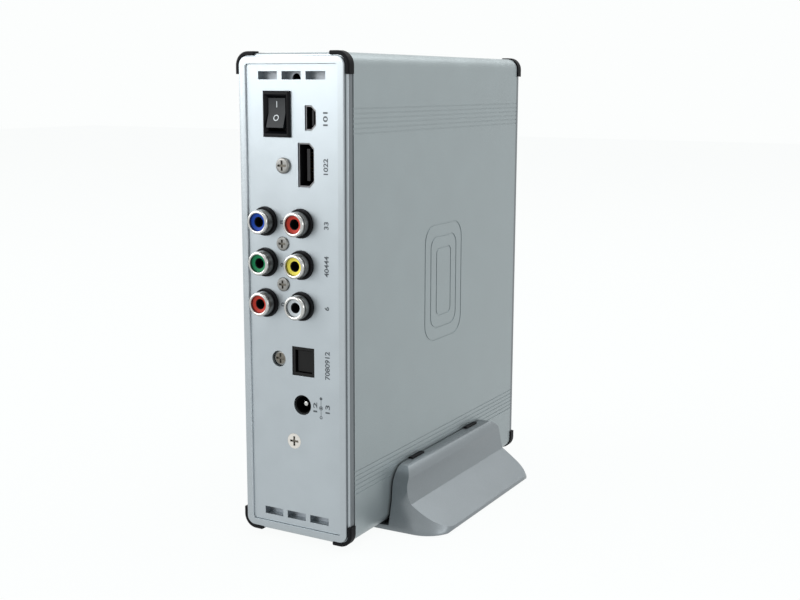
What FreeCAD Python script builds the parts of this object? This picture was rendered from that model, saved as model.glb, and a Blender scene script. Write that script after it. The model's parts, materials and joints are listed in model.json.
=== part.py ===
"""Upright media player with a pull-out hard drive tray, standing in a cradle.

Millimetres. X is to the right seen from the connector end, Y runs from the connector end
to the plain end, Z is up. The origin is the middle of the whole footprint, on the floor.
"""
import FreeCAD, Part
import math
import os

os.makedirs("parts", exist_ok=True)
Vector = FreeCAD.Vector
X_AXIS = Vector(1, 0, 0)
Y_AXIS = Vector(0, 1, 0)
Z_AXIS = Vector(0, 0, 1)

# ---------------------------------------------------------------- driving dimensions
# Clearances, all between the pieces' surfaces
moving_gap = 0.3          # between two bodies that slide or swing past each other
running_fit = 0.05        # radial, shaft in its own bore
fixed_gap = 0.1           # round pieces of one body beside each other
screw_gap = 0.05          # radial, screw in its hole

# Case: one aluminium extrusion, open at both ends
case_width = 43.8
case_height = 166.0
case_depth = 128.8
case_wall = 1.8
case_corner = 4.2
groove_count = 6
groove_pitch = 1.6
groove_width = 0.5
groove_depth = 0.18
groove_start = 18.0       # first groove of each group from the top or bottom of the case
motif_count = 3           # nested outlines engraved on each side
motif_width = 30.0
motif_height = 44.0
motif_step = 4.5
motif_line = 0.6
motif_depth = 0.2
motif_corner = 7.0
rib_height = 2.5
rib_thickness = 1.2
channel_radius = 3.3      # screw channels in the four corners
channel_inset = 4.8
channel_bore = 1.15
mouth_relief = 3.0        # ribs and channels are milled back this far at the tray's end

# End caps: a bezel ring, a panel let into it and four rubber corner bumpers
band_depth = 3.0          # from the end of the case to the shoulder of the bezel
band_inset = 0.2
shoulder_round = 0.9
rim_inset = 1.1
rim_proud = 4.0           # front of the rim from the end of the case
rim_round = 0.45
rim_width = 2.5
rim_inner_corner = 1.0
panel_face = 3.3          # outer face of the panel from the end of the case
panel_thickness = 3.2
panel_gap = 0.15
ledge_thickness = 1.2
ledge_width = 1.5
screw_lug_radius = 3.0    # lugs on the plain end's ledge for the bezel screws
bumper_proud = 0.5
bumper_bite = 0.8         # how deep a bumper is let into the bezel
bumper_depth = 3.6
bumper_chamfer = 0.42
bumper_side_leg = 7.0     # along the height, from the top or bottom of the case
bumper_end_leg = 7.0      # along the width, from the side of the case
window_half = 2.0         # half width of the infrared window
window_drop = 26.0        # top of the window from the top of the case
window_height = 24.0
window_corner = 1.0
window_recess = 0.2       # behind the panel's face
light_pitch = 8.0         # lights below the window
light_radius = 1.5
bezel_screw_radius = 1.1
bezel_screw_head = 2.0
bezel_screw_length = 8.0
bezel_head_height = 1.0

# Tray chassis: one bent steel sheet
sheet = 1.0
tray_side_gap = 0.4       # between the tray's flange and the inside of the case
tray_front_gap = 1.4      # from the plain end of the case to the side plate
front_lip = 7.0

# Main board
board_side_gap = 11.4     # side of the case to the face that carries the sockets
board_thickness = 1.6
standoff_height = 2.5
standoff_radius = 2.5
board_low_gap = 12.0      # from the bottom of the case
board_high_gap = 12.5     # from the top of the case
board_rear_gap = 0.8
board_front_gap = 9.0
board_hole_inset = 9.0    # screw holes from the top and bottom edges
board_hole_rear = 33.0    # screw holes from the tray's flange
board_hole_front = 6.0    # screw holes from the board's front edge
small_screw_radius = 1.25
small_head_radius = 2.4
small_head_height = 1.2

# Connector panel. A drop is measured down from the top of the case, an offset from the middle
# of the case, a lift from the face of the board and an inset from the other side of the case
vent_width = 7.6
vent_height = 2.7
vent_pitch = 9.45
vent_count = 3
vent_inset = 7.4          # middle of each row from the top or bottom of the case
latch_hole_radius = 1.6
switch_inset = 16.2
switch_drop = 20.0
switch_width = 10.6
switch_height = 15.2
data_port_lift = 3.1
data_port_drop = 21.1
data_port_width = 4.2
data_port_height = 8.0
video_port_lift = 5.0
video_port_drop = 36.5
video_port_width = 6.2
video_port_height = 14.4
jack_left_inset = 10.6
jack_right_lift = 7.4
jack_drop = 55.9          # top row
jack_pitch = 14.0
jack_rows = 3
optical_lift = 7.0
optical_drop = 103.1
optical_width = 8.8
optical_height = 9.9
power_lift = 7.5
power_drop = 118.3
power_hole_radius = 3.5
video_screw = (-3.4, 36.9)          # offset and drop of each screw
upper_jack_screw = (-4.1, 63.1)
lower_jack_screw = (-4.1, 77.0)
optical_screw = (-6.5, 103.1)
chassis_screw = (-0.6, 131.6)
panel_screw_radius = 1.3
panel_head_radius = 2.7
panel_head_height = 1.2
jack_head_radius = 2.4      # flatter heads of the two screws beside the jacks
jack_head_height = 0.7
jack_head_dome = 0.5
panel_screw_length = 9.0
flat_head_height = 1.5    # countersunk head
flat_shank_start = 1.0    # behind the panel's face
screw_dome = 0.72         # rounding of the raised heads
screw_recess = 0.9        # the screw beside the optical port sits this deep
cross_width = 0.75        # cross recess in the screw heads
cross_depth = 0.6
cross_edge = 1.0          # from the tip of the cross to the edge of the head

# Round jacks
jack_ring_radius = 4.9
jack_ring_proud = 1.0
jack_shell_radius = 4.15
jack_shell_wall = 1.1
jack_reach = 8.3          # mouth of the shells from the end of the case
jack_shell_depth = 6.0    # inside the case
jack_lip_round = 0.4
jack_neck = 0.3           # slimmer part between the ring and the free length of the shell
jack_neck_cut = 0.2
jack_insert_recess = 1.2
jack_contact_radius = 1.6
jack_contact_wall = 0.22
jack_contact_recess = 4.5
jack_block_depth = 23.0
jack_block_margin = 6.4   # block past the outer jack axes

# Flat ports
port_wall = 0.4
port_recess = 0.4         # mouth of the shells behind the panel's face
video_port_depth = 10.5
data_port_depth = 8.0
port_bevel = 1.7
video_tongue = (1.3, 10.6)
data_tongue = (0.9, 5.2)
tongue_recess = 1.6
port_insulation = 4.0     # block at the back of a flat port
port_tab_length = 3.0     # solder tabs
port_tab_width = 0.4
port_tab_inset = 0.2      # from the bevel

# Optical port
optical_depth = 13.0
optical_wall = 1.0
optical_recess = 0.3
optical_cavity_depth = 9.5
shutter_thickness = 0.8
shutter_recess = 1.1
nozzle_radius = 1.4       # light guide at the back of the cavity
nozzle_length = 1.6
shutter_pin_cut = 0.08    # shutter's pin below its barrel, on the radius

# Power jack
power_body_half = 4.6
power_bore_radius = 2.95
power_nose_gap = 0.1
power_nose_recess = 0.6
power_pin_recess = 2.0
power_bore_depth = 9.0
power_pin_radius = 1.0
power_pin_tip = 0.5       # rounding of its end
power_pin_seat = 2.0      # in the body
power_pin_neck = 0.3      # slimmer part in front of its seat
power_pin_neck_cut = 0.2
power_body_depth = 13.0

# Rocker switch
switch_bezel_proud = 1.2
switch_chamfer = 0.48
switch_funnel = 0.84      # how much wider the mouth of the cavity is, on each side
switch_pin_seat = 0.5     # rocker's pin past the cavity, on each side
switch_body_margin = 0.9  # body inside the bezel, on each side
switch_depth = 13.0
rocker_swing = 9.0        # each way from the middle
rocker_pivot_depth = 1.6  # pivot behind the panel's face
rocker_width = 6.8
rocker_length = 9.8
rocker_reach = 2.6        # ends of the rocker in front of the pivot's plane
rocker_body_depth = 2.6
rocker_swing_room = 0.7   # cavity past each end of the rocker
rocker_back_taper = 1.2
rocker_pin_radius = 0.9
blade_width = 4.8
blade_thickness = 0.8
blade_length = 6.0
blade_spacing = 7.0
blade_seat = 1.0
lead_radius = 0.8
lead_bend = 3.0

# Hard drive. It fills the room left for it in the case, here the usual 147 x 101.6 x 26.1
drive_low_gap = 9.5       # from the bottom of the case
drive_high_gap = 9.5      # from the top of the case
drive_front_gap = 1.3     # from the plain end of the case
drive_rear_gap = 2.0      # from the block of the round jacks
drive_side_gap = 0.4      # from its screw heads to the inside of the case
drive_wall = 1.9
drive_cover_thickness = 1.2
drive_floor = 3.2
drive_board_recess = 3.4
drive_board_thickness = 1.2
drive_hole_spacing = 44.45
drive_hole_first = 41.28
drive_hole_edge = 3.175   # from the sides of the drive
drive_screw_radius = 1.6
drive_head_radius = 3.0
drive_head_height = 1.6
drive_screw_length = 4.5
platter_gap = 1.4         # from its rim to the wall of the cavity
platter_thickness = 1.3
hub_radius = 12.5
hub_height = 12.0
spindle_radius = 2.5
arm_pivot_rim = 10.6      # pivot from the rim of the disc
arm_pivot_wall = 22.9     # pivot from the drive's inner wall
arm_length = 46.0
arm_thickness = 0.9
arm_gap = 0.9             # between an arm and the disc
arm_barrel_radius = 6.5
arm_root_half = 5.0
arm_tip_half = 1.6
arm_park = 56.0           # from the line between pivot and disc axis
coil_reach = 17.0
coil_half = 7.0
coil_thickness = 3.0
magnet_near = 8.0         # from the arm's pivot
magnet_far = 21.0
magnet_drop = 17.0        # lower edge below the pivot
magnet_rise = 8.0         # upper edge above the pivot
connector_width = 46.0
connector_thickness = 7.0
connector_depth = 6.0
connector_wall = 2.0
cover_screw_radius = 1.0
cover_head_radius = 2.2
cover_head_height = 0.6
cover_screw_length = 6.0
cover_screw_inset = 4.0
cover_corner = 2.0
drive_board_edge = 10.8   # from the sides of the drive
drive_board_length = 95.0
drive_chip_size = 16.0

# Pieces on the main board
chip_size = 27.0
chip_thickness = 1.8
chip_middle = (66.0, 92.0)        # from the tray's flange, and from the bottom of the case
heatsink_size = 30.0
heatsink_foot = 1.2
heatsink_height = 5.2
heatsink_fins = 7
heatsink_fin = 1.0
memory_size = (10.0, 18.0)
memory_thickness = 1.2
memory_pitch = 22.0
memory_gap = 8.0                  # from the decoder chip to the memory row
capacitor_radius = 3.1
capacitor_height = 6.6
capacitor_pitch = 8.5
capacitor_count = 5
capacitor_rise = 34.0             # row of capacitors above the board's lower edge
capacitor_round = 0.46
coil_size = 10.0
coil_height = 4.5
coil_corner = 2.0
coil_gap = 10.0                   # from the row of capacitors
receiver_width = 5.0
receiver_height = 6.0
receiver_gap = 2.0                # front of the receiver behind the end of the case
receiver_step = 0.3               # lens below the body, on the radius
receiver_overhang = 2.0           # body past the board's edge
light_flange = 1.9
light_foot = (6.0, 2.0)           # ends of a light's foot from the board's edge
light_lift = 2.2                  # axis of the lights from the board

# Flat cable of the drive
cable_thickness = 0.6
cable_width = 22.0
cable_bend = 1.2
plug_height = 4.6
plug_margin = 2.0         # plug past the cable, on each side
socket_margin = 1.0       # socket past the cable, on each side
socket_height = 8.0
socket_lift = 14.0        # socket above the board's lower edge

# Cradle
cradle_gap = 0.6          # between the case and the cradle's side walls, filled by the liner
cradle_floor = 1.6
foot_thickness = 1.2
foot_proud = 0.4
stand_length = 86.0
stand_top_height = 22.8
stand_top_round = 8.0
stand_half_width = 43.4
stand_waist = 30.0        # X of the crease between side wall and foot
stand_waist_height = 10.2
stand_crown = 28.4        # X of the outer face where it rounds over to the top
stand_crown_drop = 3.8    # how far below the top it does so
stand_lip = 0.8           # flat top of a side wall, beside the slot
stand_flank_hollow = 0.5  # how far the side wall curves in between crease and crown
stand_foot_hollow = 0.25  # how far the foot curves in between edge and crease
stand_toe_height = 1.9
stand_edge_chamfer = 0.6
stand_end_slope = 4.2     # how far the upright ends lean in
stand_end_flare = 2.8     # how much of that lies below the crease
stand_end_ease = 0.3      # how far the rounded outline stays outside the leaning ends
stand_end_bow = 1.0       # how far the ends bow out in the middle
stand_plan_corner = 11.0  # corners of the outline on the table
stand_crease_corner = 19.0  # corners of the outline at the crease
stand_wall = 2.2
liner_thickness = 0.3
liner_drop = 1.0          # upper edge below the top of the cradle
pad_length = 9.0
pad_height = 5.0
pad_bite = 1.4            # how deep a pad is let into the side wall
pad_proud = 0.6           # how far it stands above the wall's top
pad_spread = 45.0
foot_length = 14.0
foot_width = 7.0
foot_corner = 3.4

# ---------------------------------------------------------------- places worked out from them
half_width = case_width / 2
rear = (jack_reach - rim_proud - case_depth) / 2      # connector end of the case
front = rear + case_depth                              # plain end of the case
middle = (rear + front) / 2
cradle_top = foot_proud + cradle_floor
base = cradle_top + moving_gap                         # underside of the case
top = base + case_height
inner_half = half_width - case_wall
inner_low = base + case_wall
inner_high = top - case_wall
flange_outer = rear - fixed_gap                        # outer face of the tray's flange
ledge_face = flange_outer - ledge_thickness            # where the panel's edge lies on the bezel
flange_inner = flange_outer + sheet
face = rear - panel_face                               # outer face of the connector panel
opening_inset = rim_inset + rim_width
board_face = half_width - board_side_gap               # X of the face that carries the sockets
side_plate = board_face - standoff_height - sheet      # X of the drive's side of the plate
board_back = board_face + board_thickness
board_rear = flange_inner + board_rear_gap
board_front = front - board_front_gap
board_low = base + board_low_gap
board_high = top - board_high_gap
drive_front = front - drive_front_gap
drive_rear = flange_inner + jack_block_depth + drive_rear_gap
drive_middle = (drive_rear + drive_front) / 2
drive_width = drive_front - drive_rear
drive_low = base + drive_low_gap
drive_high = top - drive_high_gap
drive_far = cover_head_height + drive_side_gap - inner_half    # X of the outside of the drive's cover
light_x = board_back + light_lift                      # axis of the lights on the board
window_high = top - window_drop
window_low = window_high - window_height
light_heights = (window_low - light_pitch, window_low - 2 * light_pitch)
switch_centre = (switch_inset - half_width, top - switch_drop)
data_centre = (board_face - data_port_lift, top - data_port_drop)
video_centre = (board_face - video_port_lift, top - video_port_drop)
jack_left = jack_left_inset - half_width
jack_right = board_face - jack_right_lift
jack_high = top - jack_drop
jack_low = jack_high - (jack_rows - 1) * jack_pitch
optical_centre = (board_face - optical_lift, top - optical_drop)
power_centre = (board_face - power_lift, top - power_drop)


# ---------------------------------------------------------------- shapes
def block(x, y, z):
    """Box between three (low, high) pairs."""
    return Part.makeBox(x[1] - x[0], y[1] - y[0], z[1] - z[0], Vector(x[0], y[0], z[0]))


def rod(axis, radius, span, across):
    """Cylinder along an axis over a span; across gives the other two coordinates in order."""
    low, high = span
    if axis == X_AXIS:
        start = Vector(low, across[0], across[1])
    elif axis == Y_AXIS:
        start = Vector(across[0], low, across[1])
    else:
        start = Vector(across[0], across[1], low)
    return Part.makeCylinder(radius, high - low, start, axis)


def tube(axis, outer, inner, span, across):
    return rod(axis, outer, span, across).cut(rod(axis, inner, span, across))


def edges_along(solid, axis):
    """Straight edges parallel to an axis."""
    found = []
    for edge in solid.Edges:
        if not isinstance(edge.Curve, Part.Line):
            continue
        if edge.tangentAt(edge.FirstParameter).cross(axis).Length < 1e-6:
            found.append(edge)
    return found


def rounded(x, y, z, radius, axis=Y_AXIS):
    """Box whose edges along one axis are rounded."""
    solid = block(x, y, z)
    return solid.makeFillet(radius, edges_along(solid, axis))


def outline_edges(solid, y):
    """All edges that lie in the plane at this Y."""
    found = []
    for edge in solid.Edges:
        ends = (edge.valueAt(edge.FirstParameter).y, edge.valueAt(edge.LastParameter).y)
        if abs(ends[0] - y) < 1e-6 and abs(ends[1] - y) < 1e-6:
            found.append(edge)
    return found


def prism(points, axis, span):
    """Polygon of (a, b) points pushed along an axis over a span."""
    low, high = span
    if axis == X_AXIS:
        corners = [Vector(low, a, b) for a, b in points]
    elif axis == Y_AXIS:
        corners = [Vector(a, low, b) for a, b in points]
    else:
        corners = [Vector(a, b, low) for a, b in points]
    wire = Part.makePolygon(corners + corners[:1])
    return Part.Face(wire).extrude(axis * (high - low))


def outline(inset, y, radius):
    """Plate of the case's outline, inset all round."""
    x = (-half_width + inset, half_width - inset)
    z = (base + inset, top - inset)
    return rounded(x, y, z, radius)


def mirrored(shape, axis, place):
    """Copy on the other side of the plane that crosses an axis at this place."""
    return shape.mirror(axis * place, axis)


def group(shapes):
    return Part.makeCompound(shapes)


def joined(shapes):
    whole = shapes[0]
    for shape in shapes[1:]:
        whole = whole.fuse(shape)
    return whole.removeSplitter()


def save(name, shape):
    shape.exportStep("parts/" + name + ".step")


def cross_recess(radius, place, across, axis=Y_AXIS):
    """Cross-shaped recess cut into a screw head from place onwards, along an axis."""
    arm = radius - cross_edge
    half = cross_width / 2
    span = (place, place + cross_depth)
    if axis == Y_AXIS:
        level = block((across[0] - arm, across[0] + arm), span, (across[1] - half, across[1] + half))
        upright = block((across[0] - half, across[0] + half), span, (across[1] - arm, across[1] + arm))
    else:
        level = block(span, (across[0] - arm, across[0] + arm), (across[1] - half, across[1] + half))
        upright = block(span, (across[0] - half, across[0] + half), (across[1] - arm, across[1] + arm))
    return level.fuse(upright)


# ---------------------------------------------------------------- cradle
def bowed(start, end, sag, axis):
    """Arc between two points of a section across an axis, its middle moved aside by sag."""
    aside = (end - start).cross(axis).normalize() * sag
    return Part.Arc(start, (start + end) / 2 + aside, end).toShape()


def stand_profile():
    """Half cross-section of the cradle: hollow foot below, side wall above with a rounded crown."""
    start = Vector(0, 0, foot_proud)
    toe_low = Vector(stand_half_width - stand_edge_chamfer, 0, foot_proud)
    toe_corner = Vector(stand_half_width, 0, foot_proud + stand_edge_chamfer)
    toe_high = Vector(stand_half_width, 0, foot_proud + stand_toe_height)
    crease = Vector(stand_waist, 0, stand_waist_height)
    crown_side = Vector(stand_crown, 0, stand_top_height - stand_crown_drop)
    lip = Vector(half_width + cradle_gap + stand_lip, 0, stand_top_height)
    centre = Vector(0, 0, stand_top_height)
    halfway = math.sqrt(0.5)
    crown_bend = Vector(lip.x + (crown_side.x - lip.x) * halfway, 0,
                        crown_side.z + (lip.z - crown_side.z) * halfway)
    edges = [Part.makeLine(start, toe_low), Part.makeLine(toe_low, toe_corner),
             Part.makeLine(toe_corner, toe_high), bowed(toe_high, crease, stand_foot_hollow, Y_AXIS),
             bowed(crease, crown_side, stand_flank_hollow, Y_AXIS),
             Part.Arc(crown_side, crown_bend, lip).toShape(),
             Part.makeLine(lip, centre), Part.makeLine(centre, start)]
    return Part.Face(Part.Wire(edges))


def stand_plan(half_length, corner, low, high):
    """Plan of the cradle with bowed ends and rounded corners, as a block between two heights."""
    reach = stand_half_width
    side = half_length - stand_end_bow
    corners = [Vector(-reach, middle - side, low), Vector(0, middle - half_length, low),
               Vector(reach, middle - side, low), Vector(reach, middle + side, low),
               Vector(0, middle + half_length, low), Vector(-reach, middle + side, low)]
    edges = [Part.Arc(corners[0], corners[1], corners[2]).toShape(),
             Part.makeLine(corners[2], corners[3]),
             Part.Arc(corners[3], corners[4], corners[5]).toShape(),
             Part.makeLine(corners[5], corners[0])]
    solid = Part.Face(Part.Wire(edges)).extrude(Z_AXIS * (high - low))
    return solid.makeFillet(corner, edges_along(solid, Z_AXIS))


def level_outline(solid, height):
    """Outline of the flat face that a solid has at a height."""
    for face in solid.Faces:
        if abs(face.BoundBox.ZMin - height) < 0.01 and abs(face.BoundBox.ZMax - height) < 0.01:
            return face.OuterWire
    raise ValueError("no flat face at this height")


def stand_outline(half_length):
    """Plan of the cradle whose corners are cut back more and more from the table to the crease."""
    flare_low = foot_proud + stand_edge_chamfer
    at_foot = stand_plan(half_length, stand_plan_corner, 0, flare_low)
    at_crease = stand_plan(half_length - stand_end_flare + stand_end_ease, stand_crease_corner,
                           stand_waist_height, 2 * stand_top_height)
    between = Part.makeLoft([level_outline(at_foot, flare_low),
                             level_outline(at_crease, stand_waist_height)], True, True)
    return at_foot.fuse([between, at_crease])


def stand_side(half_length):
    """Side view of the cradle: ends that lean in, more so below the crease, and are rounded on top."""
    near = middle - half_length
    foot = Vector(0, near - stand_end_ease, 0)
    toe = Vector(0, near - stand_end_ease, foot_proud + stand_edge_chamfer)
    heel = Vector(0, near + stand_end_flare, stand_waist_height)
    crown = Vector(0, near + stand_end_slope, stand_top_height)
    far_foot, far_toe, far_heel, far_crown = (
        Vector(0, 2 * middle - point.y, point.z) for point in (foot, toe, heel, crown))
    outline = [foot, toe, heel, crown, far_crown, far_heel, far_toe, far_foot, foot]
    solid = Part.Face(Part.makePolygon(outline)).extrude(X_AXIS * 4 * stand_half_width)
    solid.translate(-X_AXIS * 2 * stand_half_width)
    upper = [edge for edge in edges_along(solid, X_AXIS) if edge.CenterOfMass.z > 0.9 * stand_top_height]
    return solid.makeFillet(stand_top_round, upper)


def make_stand():
    half_length = stand_length / 2
    body = stand_profile().extrude(Y_AXIS * 2 * stand_length)
    body = body.fuse(mirrored(body, X_AXIS, 0))
    body.translate(Y_AXIS * (middle - stand_length))
    body = body.removeSplitter()
    body = body.common(stand_outline(half_length)).common(stand_side(half_length))
    slot = half_width + cradle_gap
    length = (middle - stand_length, middle + stand_length)
    body = body.cut(block((-slot, slot), length, (cradle_top, top)))
    hollow_x = slot + stand_wall
    hollow_y = half_length - 3 * stand_end_slope
    corners = [(hollow_x, 0), (stand_waist + stand_wall, 0),
               (stand_waist, stand_waist_height / 2), (hollow_x, stand_waist_height)]
    hollow = prism(corners, Y_AXIS, (middle - hollow_y, middle + hollow_y))
    body = body.cut(hollow).cut(mirrored(hollow, X_AXIS, 0))
    for y in pad_places():
        pad = grip_pad_box(y)
        body = body.cut(pad).cut(mirrored(pad, X_AXIS, 0))
    for x, y in foot_places():
        body = body.cut(foot_pad(x, y, 0))
    return body


def foot_places():
    """Middles of the four rubber feet, in the plate under the case."""
    x = half_width - foot_width
    y = stand_length / 2 - stand_end_bow - foot_length
    return [(-x, middle - y), (x, middle - y), (-x, middle + y), (x, middle + y)]


def foot_pad(x, y, low):
    span_x = (x - foot_width / 2, x + foot_width / 2)
    span_y = (y - foot_length / 2, y + foot_length / 2)
    return rounded(span_x, span_y, (low, foot_thickness), foot_corner, Z_AXIS)


def make_liner():
    """Thin dark sheet on the inner face of each side wall."""
    slot = half_width + cradle_gap
    half_length = stand_length / 2 - stand_end_slope
    sheet_x = (slot - liner_thickness, slot)
    liner_z = (cradle_top, stand_top_height - liner_drop)
    piece = block(sheet_x, (middle - half_length, middle + half_length), liner_z)
    upper = [edge for edge in edges_along(piece, X_AXIS) if edge.CenterOfMass.z > stand_top_height / 2]
    piece = piece.makeFillet(stand_top_round, upper)
    for y in pad_places():
        piece = piece.cut(grip_pad_box(y))
    return group([piece, mirrored(piece, X_AXIS, 0)])


def pad_places():
    return (middle - pad_spread / 2, middle + pad_spread / 2)


def grip_pad_box(y):
    """Rubber pad let into the liner and the top of a side wall."""
    slot = half_width + cradle_gap
    span = (y - pad_length / 2, y + pad_length / 2)
    height = (stand_top_height - pad_height, stand_top_height + pad_proud)
    return block((half_width + moving_gap, slot + pad_bite), span, height)


def make_grip_pads():
    pads = [grip_pad_box(y) for y in pad_places()]
    return group(pads + [mirrored(pad, X_AXIS, 0) for pad in pads])


save("stand_shell", make_stand())
save("stand_liner", make_liner())
save("stand_grip_pads", make_grip_pads())
save("stand_feet", group([foot_pad(x, y, 0) for x, y in foot_places()]))


# ---------------------------------------------------------------- case sleeve
def side_groove(z):
    """Fine groove along the whole case, on both sides."""
    span = (rear - 1, front + 1)
    half = groove_width / 2
    cut = block((half_width - groove_depth, half_width + 1), span, (z - half, z + half))
    return [cut, mirrored(cut, X_AXIS, 0)]


def motif_outline(index):
    """One engraved rounded outline of the motif on both sides."""
    shrink = index * motif_step
    centre_z = base + case_height / 2
    outer_y = (middle - motif_width / 2 + shrink, middle + motif_width / 2 - shrink)
    outer_z = (centre_z - motif_height / 2 + shrink, centre_z + motif_height / 2 - shrink)
    inner_y = (outer_y[0] + motif_line, outer_y[1] - motif_line)
    inner_z = (outer_z[0] + motif_line, outer_z[1] - motif_line)
    depth = (half_width - motif_depth, half_width + 1)
    corner = motif_corner - shrink / 2
    ring = rounded(depth, outer_y, outer_z, corner, X_AXIS)
    ring = ring.cut(rounded(depth, inner_y, inner_z, corner - motif_line, X_AXIS))
    return [ring, mirrored(ring, X_AXIS, 0)]


def channel_places():
    x = half_width - channel_inset
    z = (base + channel_inset, top - channel_inset)
    return [(-x, z[0]), (x, z[0]), (-x, z[1]), (x, z[1])]


def guide_ribs():
    """Two ribs each side of the tray's plate, at the bottom and top of the case."""
    ribs = []
    inside = (rear + mouth_relief, front)
    left = side_plate - moving_gap
    right = side_plate + sheet + moving_gap
    for x in ((left - rib_thickness, left), (right, right + rib_thickness)):
        ribs.append(block(x, inside, (inner_low - case_wall / 2, inner_low + rib_height)))
        ribs.append(block(x, inside, (inner_high - rib_height, inner_high + case_wall / 2)))
    return ribs


def make_sleeve():
    length = (rear, front)
    shell = outline(0, length, case_corner)
    shell = shell.cut(outline(case_wall, (rear - 1, front + 1), case_corner - case_wall))
    solids = [shell] + guide_ribs()
    for x, z in channel_places():
        solids.append(rod(Y_AXIS, channel_radius, (rear + mouth_relief, front), (x, z)))
    sleeve = joined(solids)
    sleeve = sleeve.common(outline(0, length, case_corner))
    for x, z in channel_places():
        sleeve = sleeve.cut(rod(Y_AXIS, channel_bore, (rear, front + 1), (x, z)))
    cuts = []
    for index in range(groove_count):
        step = groove_start + index * groove_pitch
        cuts += side_groove(base + step)
        cuts += side_groove(top - step)
    for index in range(motif_count):
        cuts += motif_outline(index)
    return sleeve.cut(group(cuts))


save("case_sleeve", make_sleeve())


# ---------------------------------------------------------------- end caps
def bezel():
    """Ring that closes the connector end of the case; its ledge carries the panel's edge."""
    band = outline(band_inset, (rear - band_depth, rear - moving_gap), case_corner - band_inset)
    band = band.makeFillet(shoulder_round, outline_edges(band, rear - band_depth))
    rim = outline(rim_inset, (rear - rim_proud, rear - band_depth), case_corner - rim_inset)
    rim = rim.makeFillet(rim_round, outline_edges(rim, rear - rim_proud))
    neck_inset = case_wall + tray_side_gap
    neck = outline(neck_inset, (rear - band_depth, rear - fixed_gap), case_corner - neck_inset)
    ring = joined([band, rim, neck])
    ring = ring.cut(outline(opening_inset, (rear - rim_proud - 1, ledge_face), rim_inner_corner))
    inner = opening_inset + ledge_width
    ring = ring.cut(outline(inner, (ledge_face - 1, rear + 1), rim_inner_corner))
    for bumper in bumper_solids(fixed_gap / 2):
        ring = ring.cut(bumper)
    return ring


def bumper_solids(grow):
    """Four corner bumpers of the connector end, with their pockets a little larger."""
    depth = (rear - bumper_depth - grow, rear - moving_gap + grow)
    outer = outline(-bumper_proud, depth, case_corner + bumper_proud)
    inner = outline(bumper_bite + grow, (depth[0] - 1, depth[1] + 1), case_corner - bumper_bite)
    ring = outer.cut(inner)
    solids = []
    reach = half_width + bumper_proud + 1
    for side in (-1, 1):
        spans = sorted((side * (half_width - bumper_end_leg - grow), side * reach))
        low = (base - bumper_proud - 1, base + bumper_side_leg + grow)
        high = (top - bumper_side_leg - grow, top + bumper_proud + 1)
        for z in (low, high):
            corner = ring.common(block(spans, (depth[0] - 1, depth[1] + 1), z))
            solids.append(corner.Solids[0])
    return solids


def make_bumpers():
    """Bumpers with their proud front edges softened."""
    softened = []
    for solid in bumper_solids(0):
        proud = [edge for edge in outline_edges(solid, rear - bumper_depth) if outside_case(edge)]
        softened.append(solid.makeChamfer(bumper_chamfer, proud))
    return softened


def outside_case(edge):
    """Whether the middle of an edge lies outside the case's outline, and follows it."""
    point = edge.valueAt((edge.FirstParameter + edge.LastParameter) / 2)
    x = abs(point.x) - (half_width - case_corner)
    z = abs(point.z - (base + top) / 2) - (case_height / 2 - case_corner)
    distance = math.hypot(max(x, 0), max(z, 0)) - case_corner
    return distance > bumper_proud / 2


def panel_blank():
    """Panel that fills the bezel's opening, stepped at the back to lie on the ledge."""
    skin_y = (face, ledge_face)
    inset = opening_inset + panel_gap
    skin = outline(inset, skin_y, rim_inner_corner)
    inner = opening_inset + ledge_width + panel_gap
    body = outline(inner, (skin_y[1], face + panel_thickness), rim_inner_corner)
    return joined([skin, body])


def front_copy(shape):
    return mirrored(shape, Y_AXIS, middle)


def bezel_screws():
    """Countersunk screws through the plain end's ledge into the screw channels."""
    screws = []
    for x, z in channel_places():
        shank_y = (ledge_face + bezel_head_height, ledge_face + bezel_screw_length)
        shank = rod(Y_AXIS, bezel_screw_radius, shank_y, (x, z))
        screw = bezel_head(x, z, 0).fuse(shank).cut(cross_recess(bezel_screw_head, ledge_face, (x, z)))
        screws.append(screw)
    return screws


def bezel_head(x, z, grow):
    """Cone of a countersunk bezel screw, or of its hole when grown."""
    return Part.makeCone(bezel_screw_head + grow, bezel_screw_radius + grow, bezel_head_height,
                         Vector(x, ledge_face, z), Y_AXIS)


def lugs(grow, depth):
    return [rod(Y_AXIS, screw_lug_radius + grow, depth, centre) for centre in channel_places()]


def plain_bezel():
    """The bezel of the plain end, with a lug and a countersunk hole for each screw."""
    ring = joined([bezel()] + lugs(0, (ledge_face, flange_outer)))
    for x, z in channel_places():
        hole = rod(Y_AXIS, bezel_screw_radius + screw_gap, (ledge_face, rear + 1), (x, z))
        ring = ring.cut(bezel_head(x, z, screw_gap)).cut(hole)
    return ring


def window_block(depth, grow):
    return rounded((light_x - window_half - grow, light_x + window_half + grow), depth,
                   (window_low - grow, window_high + grow), window_corner)


save("front_bezel", front_copy(plain_bezel()))
save("front_bezel_screws", front_copy(group(bezel_screws())))
save("front_corner_bumpers", front_copy(group(make_bumpers())))
save("rear_bezel", bezel())
save("rear_corner_bumpers", group(make_bumpers()))

front_panel = panel_blank().cut(group(lugs(fixed_gap, (ledge_face, rear + 1))))
front_panel = front_copy(front_panel)
front_face = front + panel_face
panel_depth = (front_face - panel_thickness - 1, front_face + 1)
front_panel = front_panel.cut(window_block(panel_depth, fixed_gap))
light_pipes = []
for height in light_heights:
    light_centre = (light_x, height)
    front_panel = front_panel.cut(rod(Y_AXIS, light_radius + screw_gap, panel_depth, light_centre))
    light_pipes.append(rod(Y_AXIS, light_radius, (front_face - panel_thickness, front_face), light_centre))
save("front_panel", front_panel)
save("front_window", window_block((front_face - panel_thickness, front_face - window_recess), 0))
save("front_light_pipes", group(light_pipes))


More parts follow.
